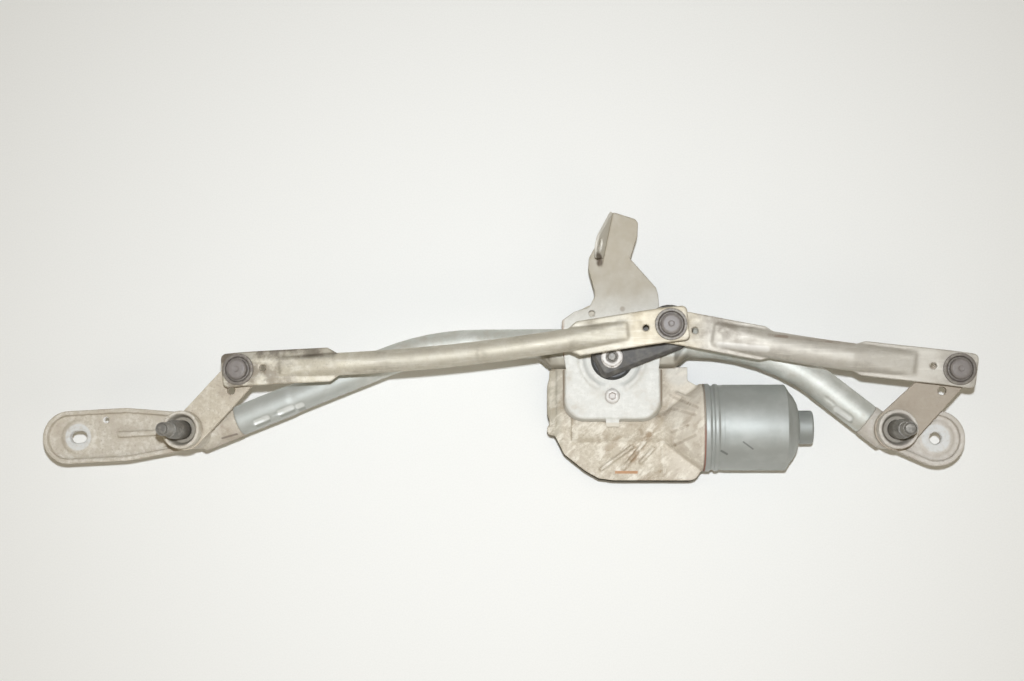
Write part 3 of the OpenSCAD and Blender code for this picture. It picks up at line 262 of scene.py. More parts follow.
# %% [markdown]
# ## The finishes
# One material for each real finish: bluish zinc on the tube, pale zinc on the plate, stained zinc
# on the links, grey-beige castings, a blue-grey can, black crank, dark steel spindles, bright
# fasteners and the brown-grey plastic of the ball sockets. Clean rings stay where washers sat, and
# the links carry dark stains round their ends, so those finishes take places from the frame. Marks
# that belong to no other piece, such as streaks and scratches, are lines in plan millimetres.


# %% Places on the object, in metres
def middle(node):
    low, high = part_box(node)
    return (Vector(low) + Vector(high)) / 2


mounts = {m["name"]: Vector(m["pos_m"]) for m in record["mounts"]}
left_spindle_at, right_spindle_at = middle("left_spindle"), middle("right_spindle")
left_ball_at, right_ball_at = middle("left_outer_socket"), middle("right_outer_socket")
crank_pin_at = middle("left_inner_socket")
can_axis_y = middle("motor_can").y
EAR_HOLE_ALONG, EAR_HOLE_BESIDE, SCREW_HEAD, CAN_BOSS = 0.0725, 0.012, 0.004, 0.011
ear = (mounts["left_mount_slot"] - left_spindle_at).to_2d().normalized()
ear_hole_at = left_spindle_at.to_2d() + ear * EAR_HOLE_ALONG + Vector((ear.y, -ear.x)) * EAR_HOLE_BESIDE
plate_top_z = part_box("plate_screws")[1][2] - SCREW_HEAD
boss_from_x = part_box("motor_can")[1][0] - CAN_BOSS
for ball_at in (left_ball_at, right_ball_at):
    print("link length:", round((ball_at - crank_pin_at).length, 4))

# %% [markdown]
# ## Castings
# The brackets and the gear housing are raw die castings that have greyed and taken on brown streaks
# in the weather. An image could be laid over them, but it would fit one side only. Noise that is
# stretched and leaned draws the streaks on every side, and lines in plan set the few marks that
# catch the eye: a painted shade line at the neck's pocket, two gashes, the painted shade under each
# rib. The housing's left side and the cup funnels are painted darker as shade, and the ear's hole is
# painted near white as light.

# %% Castings with clean washer rings
RIBS = [((43, -25), (62, -34.5)), ((44, -63), (60, -55)), ((44, -52.5), (55, -48)), ((44, -35), (60, -40))]
NECK_POCKET_SHADE = (-295, -59), (-284, -55.8)
DEEP_GASH, FAINT_GASH = ((14, -74), (27, -57)), ((-9, -72), (5, -59))
PALE_PATCH_AT, STREAK_LEAN, RIB_SHADE = (0.050, -0.010), 0.75, Vector((0, -2.2))
RIGHT_PALE_X, CAN_SIDE_X, LEFT_SHADE_X, LOW_Y = (0.1, 0.2), (0.034, 0.05), (-0.036, -0.042), (-0.03, -0.06)
STRIP_LOW_Y, STRIP_HIGH_Y = (-0.0856, -0.0852), (-0.0832, -0.0836)
STRIP_LEFT_X, STRIP_RIGHT_X = (0.001, 0.002), (0.019, 0.018)


def casting_marks(f, colour):
    colour = (f.axis("X").step(*RIGHT_PALE_X) * 0.4).tint(colour, srgb(198, 194, 191))
    # Painted shade: the funnel inside each cup is darkened, where shade falls in it.
    funnel_shade = f.near(left_spindle_at, 9.8, 11.6).larger(f.near(right_spindle_at, 9.8, 11.6))
    colour = (funnel_shade * 0.75).tint(colour, srgb(140, 134, 122))
    # Painted shade: a dark line at the edge of the pocket in the left bracket's neck.
    colour = (f.stroke(*NECK_POCKET_SHADE, 1.4) * 0.7).tint(colour, srgb(112, 98, 90))
    # Painted light: the walls of the ear's hole are painted near white, as if the lit paper showed through.
    colour = f.near(ear_hole_at, 2.2, 2.8).tint(colour, srgb(244, 244, 242))
    left_ring = f.near(mounts["left_mount_slot"], 9.4, 11.0)
    right_ring = f.near(mounts["right_mount_hole"], 9.2, 11.2)
    mottled = f.noise(3, 3, shift=1.3).step(0.2, 0.6)
    return (left_ring.larger(right_ring) * (0.35 + mottled * 0.55)).tint(colour, srgb(214, 215, 214))


def housing_streaks_and_shade(f, colour):
    brown = f.noise(9, 4, 0.6, (0.4, 1, 1), 5.2, STREAK_LEAN).step(0.5, 0.68)
    chalk = f.noise(8, 6, 0.7, (0.5, 1, 1), 9.4, STREAK_LEAN).step(0.48, 0.64)
    low = f.axis("Y").step(*LOW_Y)
    colour = (f.axis("X").step(*CAN_SIDE_X) * 0.6).tint(colour, srgb(216, 208, 195))
    # Painted shade: the housing's left side is darkened.
    colour = (f.axis("X").step(*LEFT_SHADE_X) * 0.8).tint(colour, srgb(174, 167, 150))
    colour = (f.near(PALE_PATCH_AT, 7, 13) * 0.6).tint(colour, srgb(206, 203, 196))
    colour = (brown * 0.34).tint(colour, srgb(146, 124, 98))
    gash = f.stroke(*DEEP_GASH, 6).larger(f.stroke(*FAINT_GASH, 5) * 0.6)
    colour = (gash * (0.55 + brown * 0.3)).tint(colour, srgb(154, 132, 106))
    for start, end in RIBS:
        shaded = f.stroke(Vector(start) + RIB_SHADE, Vector(end) + RIB_SHADE, 2.2)
        colour = (shaded * (0.3 + brown * 0.4)).tint(colour, srgb(128, 110, 88))
    colour = (chalk * (0.4 + low * 0.45)).tint(colour, srgb(232, 226, 213))
    strip = f.axis("Y").step(*STRIP_LOW_Y) * f.axis("Y").step(*STRIP_HIGH_Y)
    strip = strip * f.axis("X").step(*STRIP_LEFT_X) * f.axis("X").step(*STRIP_RIGHT_X)
    return (strip * 0.8).tint(colour, srgb(184, 132, 88))


finishes = {
    "cast": worn("weathered_casting", srgb(192, 184, 169), srgb(212, 206, 195), srgb(150, 132, 112),
                 0.05, 0.66, spots=3.5, grime=0.6, specks=0.5, extra=casting_marks),
    "housing_cast": worn("weathered_housing", srgb(194, 184, 166), srgb(212, 204, 189), srgb(138, 118, 92),
                         0.0, 0.72, spots=3, grime=0.7, specks=0.5, extra=housing_streaks_and_shade),
}
print("castings:", len(finishes))

# %% [markdown]
# ## Zinc-plated steel
# Tube, plate, links and levers are plated steel. Zinc goes dull and white, wears through at the
# edges and stains brown where water stands. Each stain could be painted by hand; a mask from a
# distance, a height or a line needs no image and stays in place from every side. Some masks paint
# light and shade instead: shade on the plate's bead, rim and slot, light on its tab, a shadow on
# the tube by the motor, and highlights on the crimps and the right link.

# %% Marks on the plate and the links
TAB_SLOT_SHADE = (-9.0, 72.0), (-9.0, 75.0)
ARM_SPOT_AT, PLATE_SCREW_AT = (0.0079, 0.0371), (0, -0.024)
ARM_Y, ARM_TONE_Y, FOOT_Y, TAB_Y, SIDE_X = (
    (0.016, 0.040), (0.012, 0.062), (-0.0470, -0.0482), (0.050, 0.060), (0.0345, 0.0365))
SOOT_EDGE, SOOT_END = ((-279, 1.5), (-202, 3.0)), ((-281, 2), (-282, -12))
RUST_LINE, SHINE = ((112, 14), (172, 7.5)), ((77, 7.4), (110, 3.8))


def plate_stains_and_painted_light(f, colour):
    arm = f.axis("Y").step(*ARM_Y)
    dirty = f.noise(14, 4, shift=2.2).step(0.3, 0.7)
    arm_tone = f.axis("Y").step(*ARM_TONE_Y) * (0.75 + dirty * 0.25)
    colour = arm_tone.tint(colour, srgb(172, 163, 146))
    # Painted shade: a grey band at the inner foot of the plate's bead.
    ring = f.near((0, 0), 21.0, 22.4) - f.near((0, 0), 18.4, 19.8)
    bead_painted_shade = ring * (1 - f.near(PLATE_SCREW_AT, 5, 9)) * (1 - arm)
    colour = (bead_painted_shade * 0.55).tint(colour, srgb(176, 177, 171))
    side = f.axis("X").step(*(-x for x in SIDE_X)).larger(f.axis("X").step(*SIDE_X))
    rust = side * (1 - arm) * f.noise(6, 4, 0.6, (1, 0.3, 1), 3.3).step(0.25, 0.5)
    colour = (rust * 0.8).tint(colour, srgb(150, 118, 92))
    # Painted shade: the plate's turned-down rim below its top is darkened.
    rim = f.axis("Z").step(plate_top_z - 0.0006, plate_top_z - 0.002) * (1 - arm)
    colour = (rim * 0.6).tint(colour, srgb(148, 141, 126))
    colour = (f.axis("Y").step(*FOOT_Y) * 0.75).tint(colour, srgb(204, 195, 178))
    colour = (f.near(ARM_SPOT_AT, 1.2, 2.6) * 0.55).tint(colour, srgb(136, 120, 102))
    # Painted light: the arm's upright tab is painted paler than the lamps make it.
    tab_painted_light = f.axis("Z").step(plate_top_z + 0.0005, plate_top_z + 0.003) * f.axis("Y").step(*TAB_Y)
    colour = (tab_painted_light * 0.75).tint(colour, srgb(220, 217, 208))
    # Painted shade: the closed slot beside the tab is painted dark.
    return (f.stroke(*TAB_SLOT_SHADE, 4.5) * 0.9).tint(colour, srgb(92, 78, 64))


def link_stains_and_highlight(f, colour):
    right_side = f.axis("X").step(crank_pin_at.x + 0.004, crank_pin_at.x + 0.03)
    colour = (right_side * 0.65).tint(colour, srgb(192, 188, 182))
    grey = (1 - f.near(crank_pin_at, 30, 38)) * (1 - f.near(left_ball_at, 70, 110)) * (1 - right_side)
    colour = (grey * 0.5).tint(colour, srgb(180, 175, 162))
    yellowed = 0.4 + f.noise(7, 4, 0.6, shift=8.1).step(0.3, 0.65) * 0.4
    pad = f.near(crank_pin_at, 26, 34) * (1 - right_side) * yellowed
    colour = pad.tint(colour, srgb(190, 179, 157))
    outer = f.near(left_ball_at, 14, 70).larger(f.near(right_ball_at, 4, 34) * 0.55)
    inner = f.near(crank_pin_at + Vector((0.035, 0, 0)), 5, 42) * 0.7
    patches = f.noise(16, 5, 0.65, shift=4.4).step(0.42, 0.62)
    scrape = f.noise(2.2, 3, 0.6, (0.06, 1, 1), 6.1).step(0.5, 0.7)
    colour = (scrape * 0.3).tint(colour, srgb(232, 229, 221))
    colour = (outer.larger(inner) * patches * 0.68).tint(colour, srgb(112, 98, 82))
    sooty = f.stroke(*SOOT_EDGE, 8).larger(f.stroke(*SOOT_END, 6))
    colour = (sooty * (0.45 + patches * 0.4)).tint(colour, srgb(106, 98, 86))
    colour = (f.stroke(*RUST_LINE, 2.6) * patches.larger(0.4) * 0.6).tint(colour, srgb(130, 104, 82))
    # Painted highlight along the right link's bulge.
    return (f.stroke(*SHINE, 4.4) * 0.5).tint(colour, srgb(240, 238, 234))


print("plate and link marks ready")

# %% Marks on the tube and the levers
TUBE_NECK_X, TUBE_UNDER_PLATE_Y, LEVER_SIDE_X = (-0.17, -0.21), (0.006, 0.0), (0.0, 0.05)
CRIMPS = [((-269.4, -47.1), (-260.2, -43.3)), ((-251, -39.6), (-241.5, -35.7)),
          ((-237.5, -35), (-234, -33.6)), ((163, -38), (172.6, -45))]
CRIMP_SHADE = Vector((1, -2.4))


def tube_dirt_and_painted_light(f, colour):
    # Painted shadow: the tube beside the motor, under the links, is darkened.
    shade_by_motor = f.near((0, 0), 52, 66) * f.axis("Y").step(*TUBE_UNDER_PLATE_Y)
    colour = (shade_by_motor * 0.8).tint(colour, srgb(128, 118, 100))
    colour = (f.axis("X").step(*TUBE_NECK_X) * 0.6).tint(colour, srgb(180, 184, 182))
    for start, end in CRIMPS:
        # Painted shade beside each crimp, and a painted highlight along it.
        shaded = f.stroke(Vector(start) + CRIMP_SHADE, Vector(end) + CRIMP_SHADE, 2.2)
        colour = (shaded * 0.4).tint(colour, srgb(126, 124, 114))
        colour = (f.stroke(start, end, 3.6) * 0.85).tint(colour, srgb(240, 242, 240))
    return colour


def lever_tones(f, colour):
    return (f.axis("X").step(*LEVER_SIDE_X) * 0.75).tint(colour, srgb(158, 146, 132))


print("tube and lever marks ready")

# %% The zinc finishes
finishes |= {
    "zinc": worn("tube_zinc", srgb(204, 206, 200), srgb(218, 219, 214), srgb(170, 160, 140), 0.55, 0.6,
                 spots=9, grime=0.5, wear=0.3, bump_mm=0.04, specks=0.2, extra=tube_dirt_and_painted_light),
    "plate_zinc": worn("plate_zinc", srgb(210, 209, 203), srgb(223, 222, 217), srgb(172, 160, 140),
                       0.05, 0.62, spots=5, grime=0.5, wear=0.5, bump_mm=0.05, specks=0.25,
                       edge=srgb(160, 138, 114), extra=plate_stains_and_painted_light),
    "link_zinc": worn("link_zinc", srgb(206, 199, 182), srgb(222, 217, 204), srgb(134, 118, 95), 0.5, 0.62,
                      spots=6, grime=0.65, wear=0.6, bump_mm=0.06, specks=0.3, edge=srgb(138, 122, 100),
                      extra=link_stains_and_highlight),
    "lever_steel": worn("lever_zinc", srgb(192, 182, 164), srgb(208, 200, 185), srgb(140, 122, 102),
                        0.15, 0.6, spots=3, grime=0.6, wear=0.4, bump_mm=0.06, specks=0.45,
                        edge=srgb(140, 122, 102), extra=lever_tones),
}
print("finishes so far:", sorted(finishes))

# %% [markdown]
# ## Steel, paint, plastic and rubber
# The can is a drawn cup with a thin zinc coat, the crank is painted black, the spindles are bare
# dark steel, the sockets are moulded plastic and a red-brown rubber ring seals the can. They could
# share one dark material. Their own tones and gloss tell them apart where they lie side by side.

# %% Scratches on the can, tones on sockets and gasket
LONG_SCRATCH, SHORT_SCRATCH = ((94.6, -62), (101.5, -67)), ((79, -68.5), (83, -70.7))


def can_scratches(f, colour):
    marks = f.stroke(*LONG_SCRATCH, 1.2).larger(f.stroke(*SHORT_SCRATCH, 1.6))
    colour = (marks * 0.6).tint(colour, srgb(92, 94, 92))
    return (f.axis("X").step(boss_from_x - MM, boss_from_x + MM) * 0.6).tint(colour, srgb(146, 149, 146))


def socket_tones(f, colour):
    outer_crowns = f.near(left_ball_at, 6.6, 8.0).larger(f.near(right_ball_at, 6.6, 8.0))
    crown = outer_crowns.larger(f.near(crank_pin_at, 6.6, 8.0))
    return (crown * 0.75).tint(colour, srgb(128, 122, 120))


def gasket_redness(f, colour):
    lower = f.axis("Y").step(can_axis_y + 0.006, can_axis_y - 0.006)
    return (lower * 0.75).tint(colour, srgb(150, 92, 76))


print("can, socket and gasket marks ready")

# %% The finishes of can, crank, spindles, sockets and seal
finishes |= {
    "can_steel": worn("can_zinc", srgb(172, 175, 172), srgb(182, 185, 182), srgb(140, 142, 138), 0.5, 0.55,
                      spots=14, grain=0.4, grime=0.35, wear=0.4, bump_mm=0.03, extra=can_scratches),
    "dark_steel": worn("spindle_steel", srgb(112, 109, 104), srgb(146, 142, 135), srgb(70, 66, 60),
                       0.4, 0.48, spots=2.5, grime=0.6, wear=0.7, bump_mm=0.04),
    "bright_steel": worn("bright_steel", srgb(210, 206, 201), srgb(230, 227, 223), srgb(130, 110, 94),
                         0.1, 0.55, spots=3, grime=0.6, wear=0.5, bump_mm=0.03),
    "crank_black": worn("crank_black", srgb(80, 78, 76), srgb(112, 109, 104), srgb(52, 49, 46), 0.0, 0.62,
                        spots=6, grime=0.5, wear=0.4, bump_mm=0.03),
    "socket_plastic": worn("socket_plastic", srgb(114, 106, 100), srgb(150, 144, 133), srgb(64, 56, 50),
                           0.0, 0.48, spots=2.5, grime=0.65, wear=0.7, bump_mm=0.04, extra=socket_tones),
    "cover_plastic": worn("cover_plastic", srgb(44, 44, 46), srgb(66, 65, 64), srgb(92, 82, 70), 0.0, 0.5,
                          spots=4, grime=0.35, wear=0.3, bump_mm=0.05),
    "gasket": worn("gasket_rubber", srgb(150, 138, 124), srgb(166, 156, 144), srgb(100, 84, 70), 0.0, 0.6,
                   grime=0.3, extra=gasket_redness),
}
print("finishes so far:", len(finishes))

# %% [markdown]
# ## Inside the motor
# Bushes, magnets, core, wheel and board are hidden in the closed motor. They still get their own
# plain finishes, because someone who takes the part from the library may open it.

# %% Finishes inside the motor, and every node gets its own
finishes |= {
    "bronze": worn("bush_bronze", srgb(176, 142, 92), srgb(200, 170, 120), srgb(104, 78, 48), 0.8, 0.4),
    "copper": worn("contact_copper", srgb(186, 124, 84), srgb(214, 160, 120), srgb(110, 66, 42),
                   0.85, 0.35),
    "ferrite": worn("magnet_ferrite", srgb(70, 70, 73), srgb(90, 90, 92), srgb(48, 46, 45), 0.1, 0.6),
    "core": worn("core_varnish", srgb(112, 78, 56), srgb(140, 104, 76), srgb(70, 48, 34), 0.3, 0.45),
    "wheel_plastic": worn("wheel_plastic", srgb(214, 208, 190), srgb(228, 223, 208), srgb(170, 150, 112),
                          0.0, 0.45),
    "board": worn("board_lacquer", srgb(34, 88, 56), srgb(52, 112, 74), srgb(24, 54, 36), 0.0, 0.35),
}
for name, node in frame["nodes"].items():
    node.data.materials.clear()
    node.data.materials.append(finishes[slot_of_node[name]])
print("finishes:", len(finishes), "on", len(frame["nodes"]), "nodes")

# %% [markdown]
# ## Skins over the solids
# The solids have knife edges, and real castings and pressings don't. A voxel remesh of a copy,
# smoothed a little, rounds every edge by about one voxel and leaves flat faces flat. A Bevel
# modifier could do it too, but it trips over the many thin triangles of a solid's mesh. The copy
# stands for the solid on the screen, while the solid keeps its work in the physics.


# %% Pieces, their bodies and their finishes
def add_object(name, mesh, finish):
    mesh.materials.clear()
    mesh.materials.append(finishes[finish])
    obj = bpy.data.objects.new(name, mesh)
    bpy.context.collection.objects.link(obj)
    return obj


def ride_on(obj, node):
    """Lets the piece move with its node's body."""
    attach(obj, body_of_node[node])
    return obj


def settle(obj, node):
    """Lets the piece ride with its node and stand for it."""
    ride_on(obj, node)
    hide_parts(node)
    return obj


def stand_in(name, mesh, node):
    return settle(add_object(name, mesh, slot_of_node[node]), node)


# %% Mesh edits and applied modifiers
def edit_mesh(mesh, *changes):
    """Opens a mesh, makes each change in turn and writes the mesh back."""
    work = bmesh.new()
    work.from_mesh(mesh)
    for change in changes:
        change(work)
    work.to_mesh(mesh)
    work.free()


def join_doubles(dist):
    return lambda work: bmesh.ops.remove_doubles(work, verts=work.verts, dist=dist)


def face_outwards(work):
    bmesh.ops.recalc_face_normals(work, faces=work.faces)


def merged_copy(node, name):
    mesh = frame["nodes"][node].data.copy()
    edit_mesh(mesh, join_doubles(2e-6))
    return add_object(name, mesh, slot_of_node[node])


def apply_modifiers(obj):
    view = bpy.context.evaluated_depsgraph_get()
    view.update()
    mesh = bpy.data.meshes.new_from_object(obj.evaluated_get(view))
    obj.modifiers.clear()
    obj.data = mesh


print("mesh edits ready")

# %% Remeshed skins and smooth copies
MELT_ROUNDS = 45


def soften(obj, rounds, group=""):
    smooth = obj.modifiers.new("soften", "SMOOTH")
    smooth.factor, smooth.iterations, smooth.vertex_group = 0.5, rounds, group


def skin(node, name, voxel_mm, rounds, keep=1.0, fill=None, soft=None, bend=None):
    """Remeshed copy of a node that stands for it.

    fill is melted in first, soft(place in mm) marks what blends, and bend(mesh) moves the result.
    """
    obj = merged_copy(node, name)
    if fill:
        edit_mesh(obj.data, lambda work: work.from_mesh(fill))
        bpy.data.meshes.remove(fill)
    remesh = obj.modifiers.new("skin", "REMESH")
    remesh.mode = "VOXEL"
    remesh.voxel_size = voxel_mm * MM
    remesh.use_smooth_shade = True
    soften(obj, rounds)
    if soft:
        apply_modifiers(obj)
        blend = obj.vertex_groups.new(name="blend")
        blend.add([v.index for v in obj.data.vertices if soft(v.co / MM)], 1.0, "REPLACE")
        soften(obj, MELT_ROUNDS, blend.name)
    if keep < 1:
        obj.modifiers.new("thin", "DECIMATE").ratio = keep
    apply_modifiers(obj)
    obj.vertex_groups.clear()
    if bend:
        bend(obj.data)
    print(name, len(obj.data.polygons), "faces")
    return settle(obj, node)


def smooth_copy(node, name, sharp_deg=32):
    obj = merged_copy(node, name)
    obj.data.shade_smooth()
    obj.data.set_sharp_from_angle(angle=math.radians(sharp_deg))
    return settle(obj, node)


print("skins and smooth copies ready")

# %% [markdown]
# ## Marks that are pressed in
# The frame tube is crimped on to the bracket necks, which leaves short dimples, and low ribs stiffen
# the housing beside the can. A bump in the shader would look flat from the side, so both are made
# on the finished skin: points near a plan line move up or down, most of all on the line itself.
# Taller bars are melted in before the remesh instead.


# %% Dimples, ribs and bars along plan lines
UPPER_SIDE = 0.25


def beside_line(at, start, end):
    """The share of the way from start to end, held within 0 and 1, and the distance from there."""
    run = end - start
    share = min(max((at - start).dot(run) / run.length_squared, 0), 1)
    return share, (at - start - run * share).length


def press(lines, width_mm, rise_mm):
    """A bend for skin(): moves the upper side up or down along lines between plan points in mm."""
    ends = [(Vector(start), Vector(end)) for start, end in lines]

    def bend(mesh):
        tilts = [n.vector.z for n in mesh.vertex_normals]
        for v in [v for v, tilt in zip(mesh.vertices, tilts) if tilt > UPPER_SIDE]:
            at = v.co.to_2d() / MM
            off = min(beside_line(at, start, end)[1] for start, end in ends)
            v.co.z += max(0, 1 - (off / width_mm) ** 2) * rise_mm * MM
    return bend


def box_mesh(name, bars):
    """Upright bars in one mesh: plan start, plan end, width, low and high, all in mm."""
    work = bmesh.new()
    for start, end, width, low, high in bars:
        run = Vector(end) - Vector(start)
        place = Matrix.Translation(((start[0] + end[0]) / 2, (start[1] + end[1]) / 2, (low + high) / 2))
        turn = Matrix.Rotation(math.atan2(run.y, run.x), 4, "Z")
        size = Matrix.Diagonal((run.length, width, high - low, 1))
        bmesh.ops.create_cube(work, size=1, matrix=Matrix.Scale(MM, 4) @ place @ turn @ size)
    mesh = bpy.data.meshes.new(name)
    work.to_mesh(mesh)
    work.free()
    return mesh


print("dimples:", len(CRIMPS), "ribs:", len(RIBS))

# %% [markdown]
# ## The left lever's narrow root
# The real lever leaves its cup as a bar that is narrower on its upper side than the tapered plate
# of the solid. A new outline would do, but the skin has the edges and the hole already, so points
# that lie further out than the core are drawn towards it, less and less towards the ball.

# %% A narrower root for the left lever
LEVER_ROOT_R, LEVER_TIP_R, SLIM_ROOT_R, LEVER_CORE_R = 15.0, 12.5, 10.3, 8.0


def slim_left_lever(mesh):
    start, end = left_spindle_at.to_2d(), left_ball_at.to_2d()
    ahead = end - start
    side = Vector((-ahead.y, ahead.x)).normalized()
    for v in mesh.vertices:
        at = v.co.to_2d()
        off = (at - start).dot(side) / MM
        if off > LEVER_CORE_R:
            share, _ = beside_line(at, start, end)
            edge = LEVER_ROOT_R + (LEVER_TIP_R - LEVER_ROOT_R) * share
            wanted = SLIM_ROOT_R + (LEVER_TIP_R - SLIM_ROOT_R) * share
            pull = (off - LEVER_CORE_R) * ((wanted - LEVER_CORE_R) / (edge - LEVER_CORE_R) - 1)
            v.co += (side * pull * MM).to_3d()


print("left lever's root goes from", LEVER_ROOT_R, "to", SLIM_ROOT_R)

# %% [markdown]
# ## Castings and pressings
# The voxel is the edge radius that the real process leaves: nearly a millimetre on a die casting,
# half of that on pressed sheet. The plate's beads are softened further, since sheet flows round a
# die, and the slot beside the plate's tab is closed from below and painted dark, as painted shade in a
# fold.

# %% Castings and pressings get skins
BEAD_R, BEAD_REACH, BEAD_FOOT = 23.5, 5, 0.3
PLATE_TOP, BAR_FOOT = plate_top_z / MM, 38
HOUSING_BARS = [((-45, -8), (-45, -50), 5, BAR_FOOT, 41.6), ((-18, -52), (-10, -52), 4, BAR_FOOT, 40.9),
                ((36, -50), (38, -86), 1.8, BAR_FOOT, 41.0)]
SLOT_SHADE_PLUG = [((-9, 69.5), (-9, 78.5), 7, PLATE_TOP - 1.95, PLATE_TOP - 1.0)]


def on_plate_bead(at):
    return abs(at.xy.length - BEAD_R) < BEAD_REACH and at.z > PLATE_TOP - BEAD_FOOT


skin("left_bearing_bracket", "left_bracket_casting", 0.8, 4)
skin("right_bearing_bracket", "right_bracket_casting", 0.8, 4)
skin("gear_housing", "gear_housing_casting", 0.9, 3, keep=0.7, fill=box_mesh("housing_bars", HOUSING_BARS),
     bend=press(RIBS, 2.0, 1.0))
skin("motor_plate", "motor_plate_pressing", 0.55, 4, keep=0.7, fill=box_mesh("slot_shade_plug", SLOT_SHADE_PLUG),
     soft=on_plate_bead)
skin("crank_arm", "crank_forging", 0.5, 2)
skin("frame_tube", "frame_tube_drawn", 0.85, 3, keep=0.5, bend=press(CRIMPS, 2.4, -0.9))
skin("left_lever", "left_lever_plate", 0.5, 2, bend=slim_left_lever)
skin("right_lever", "right_lever_plate", 0.5, 2)

# %% [markdown]
# ## Small round pieces
# Bushes, studs, clips, cap and cover are small or half hidden, and their solids are right as they
# are. A remesh would blunt them, so a merged copy with smooth shading and its sharp edges is enough.

# %% Round pieces get smooth copies
for node in ("gear_cover", "shaft_cap", "can_gasket", "crank_ball_pin",
             "left_bushes", "right_bushes", "left_ball_stud", "right_ball_stud", "left_stud_foot",
             "right_stud_foot", "left_clip", "right_clip"):
    smooth_copy(node, node + "_smooth")
print("smooth copies made")

# %% [markdown]
# ## Turned parts
# Sockets, cups, spindles and the motor can are round, so a half section says everything: radius
# against height. Small arcs at its corners catch the light as a real turned edge does. A Screw
# modifier could turn it too; a short function also closes the poles and lets a radius vary.


# %% Half sections with rounded corners, turned about an axis
def rounded(points, r, steps=3):
    """The same line with an arc of about r in each inner corner; points are (radius, height)."""
    line = [Vector(p) for p in points]
    out = [line[0]]
    for before, corner, after in zip(line, line[1:], line[2:]):
        a, b = before - corner, after - corner
        cut = min(r, a.length * 0.45, b.length * 0.45)
        start, end = corner + a.normalized() * cut, corner + b.normalized() * cut
        for i in range(steps + 1):
            t = i / steps
            out.append(start * (1 - t) ** 2 + corner * (2 * t * (1 - t)) + end * t ** 2)
    return out + [line[-1]]


def turned_mesh(name, section, steps=96, wobble=None):
    """A half section in mm, turned about Z; wobble(radius, height, angle) may move a radius."""
    rings, verts, faces = [], [], []
    for r, z in section:
        if r < 1e-6:
            rings.append([len(verts)] * steps)
            verts.append((0, 0, z * MM))
            continue
        rings.append(list(range(len(verts), len(verts) + steps)))
        for i in range(steps):
            angle = 2 * math.pi * i / steps
            far = wobble(r, z, angle) if wobble else r
            verts.append((far * MM * math.cos(angle), far * MM * math.sin(angle), z * MM))
    for low, high in zip(rings, rings[1:]):
        for i in range(steps):
            j = (i + 1) % steps
            face = list(dict.fromkeys((low[i], low[j], high[j], high[i])))
            if len(face) > 2:
                faces.append(face)
    mesh = bpy.data.meshes.new(name)
    mesh.from_pydata(verts, [], faces)
    edit_mesh(mesh, join_doubles(1e-7), face_outwards)
    mesh.shade_smooth()
    mesh.set_sharp_from_angle(angle=math.radians(40))
    return mesh


def at_axis(mesh, centre, along_x=False):
    """Moves a turned mesh on to its axis; along_x lays its height along +X."""
    turn = Matrix.Rotation(math.pi / 2, 4, "Y") if along_x else Matrix.Identity(4)
    mesh.transform(Matrix.Translation(centre) @ turn)
    return mesh


print("turning tools ready")

# %% [markdown]
# ## Bowed links
# Each link is a tube, pressed flat at its ends, and it sags a little towards the motor between its
# balls so that it clears the crank nut. The solid is straight, so its skin is bent here: sideways
# in plan, by a half wave that is nothing at both balls. The drain hole, which the top side doesn't
# show, is filled first, and the round bulge fades into its flat ends over some millimetres. A
# Simple Deform modifier bends too, but it would move the balls.

# %% What bends and what blends on a link
ROD_D = {"left": 16.5, "right": 20.0}
SAG_MM = {"left": 6.0, "right": 3.0}
DRAIN_MM, PLUG_HALF, BULGE_MM, BULGE_REACH, WAVE_POWER = 87.0, 4, 31.0, 8, 1.3


def bow(start, end, sag_mm):
    """A bend for skin(): sideways towards -Y, most in the middle between two plan points."""
    along = end - start
    side = Vector((along.y, -along.x)).normalized()
    side *= -math.copysign(sag_mm * MM, side.y)

    def bend(mesh):
        for v in mesh.vertices:
            share, _ = beside_line(v.co.to_2d(), start, end)
            v.co += (side * math.sin(math.pi * share) ** WAVE_POWER).to_3d()
    return bend


def bulge_ends(start, end, half_w):
    """What blends on a link: the two ends of its bulge, given its balls in mm."""
    along, length = (end - start).normalized(), (end - start).length

    def soft(at):
        run = (at.to_2d() - start).dot(along)
        off = (at.to_2d() - start - along * run).length
        return off < half_w and min(abs(run - BULGE_MM), abs(length - run - BULGE_MM)) < BULGE_REACH
    return soft


print("links sag by", SAG_MM)

# %% Links, pressed and bowed
for side, ball_at in (("left", left_ball_at), ("right", right_ball_at)):
    r = ROD_D[side] / 2
    start, end = crank_pin_at.to_2d(), ball_at.to_2d()
    ahead = (end - start).to_3d().normalized()
    place = start.to_3d() + ahead * DRAIN_MM * MM
    place.z = middle(f"{side}_link_rod").z
    plug = turned_mesh("plug", [(0, -PLUG_HALF), (r, -PLUG_HALF), (r, PLUG_HALF), (0, PLUG_HALF)])
    plug.transform(Matrix.Translation(place) @ ahead.to_track_quat("Z", "Y").to_matrix().to_4x4())
    skin(f"{side}_link_rod", f"{side}_link_pressing", 0.6, 8, fill=plug,
         soft=bulge_ends(start / MM, end / MM, r + 0.5), bend=bow(start, end, SAG_MM[side]))

# %% [markdown]
# ## Ball sockets
# A socket is one plastic moulding that snaps over its ball: a hollow, a narrower mouth, a rolled rim
# that holds it in the link, a dark groove and a low crown. The right inner one is open on top,
# because the crank's pin goes through it to the upper ball. The groove is finer than a voxel, so
# the sockets are turned from a half section.

# %% Ball sockets with rim, groove and crown
BALL_R, MOUTH_R, BODY_SHARE, CROWN_SHARE = 6.05, 5.2, 0.78, 0.63
RIM_UP, RIM_H, RIM_W, GROOVE_W, DIMPLE_R = 1.5, 2, 2.2, 1.5, 2.2


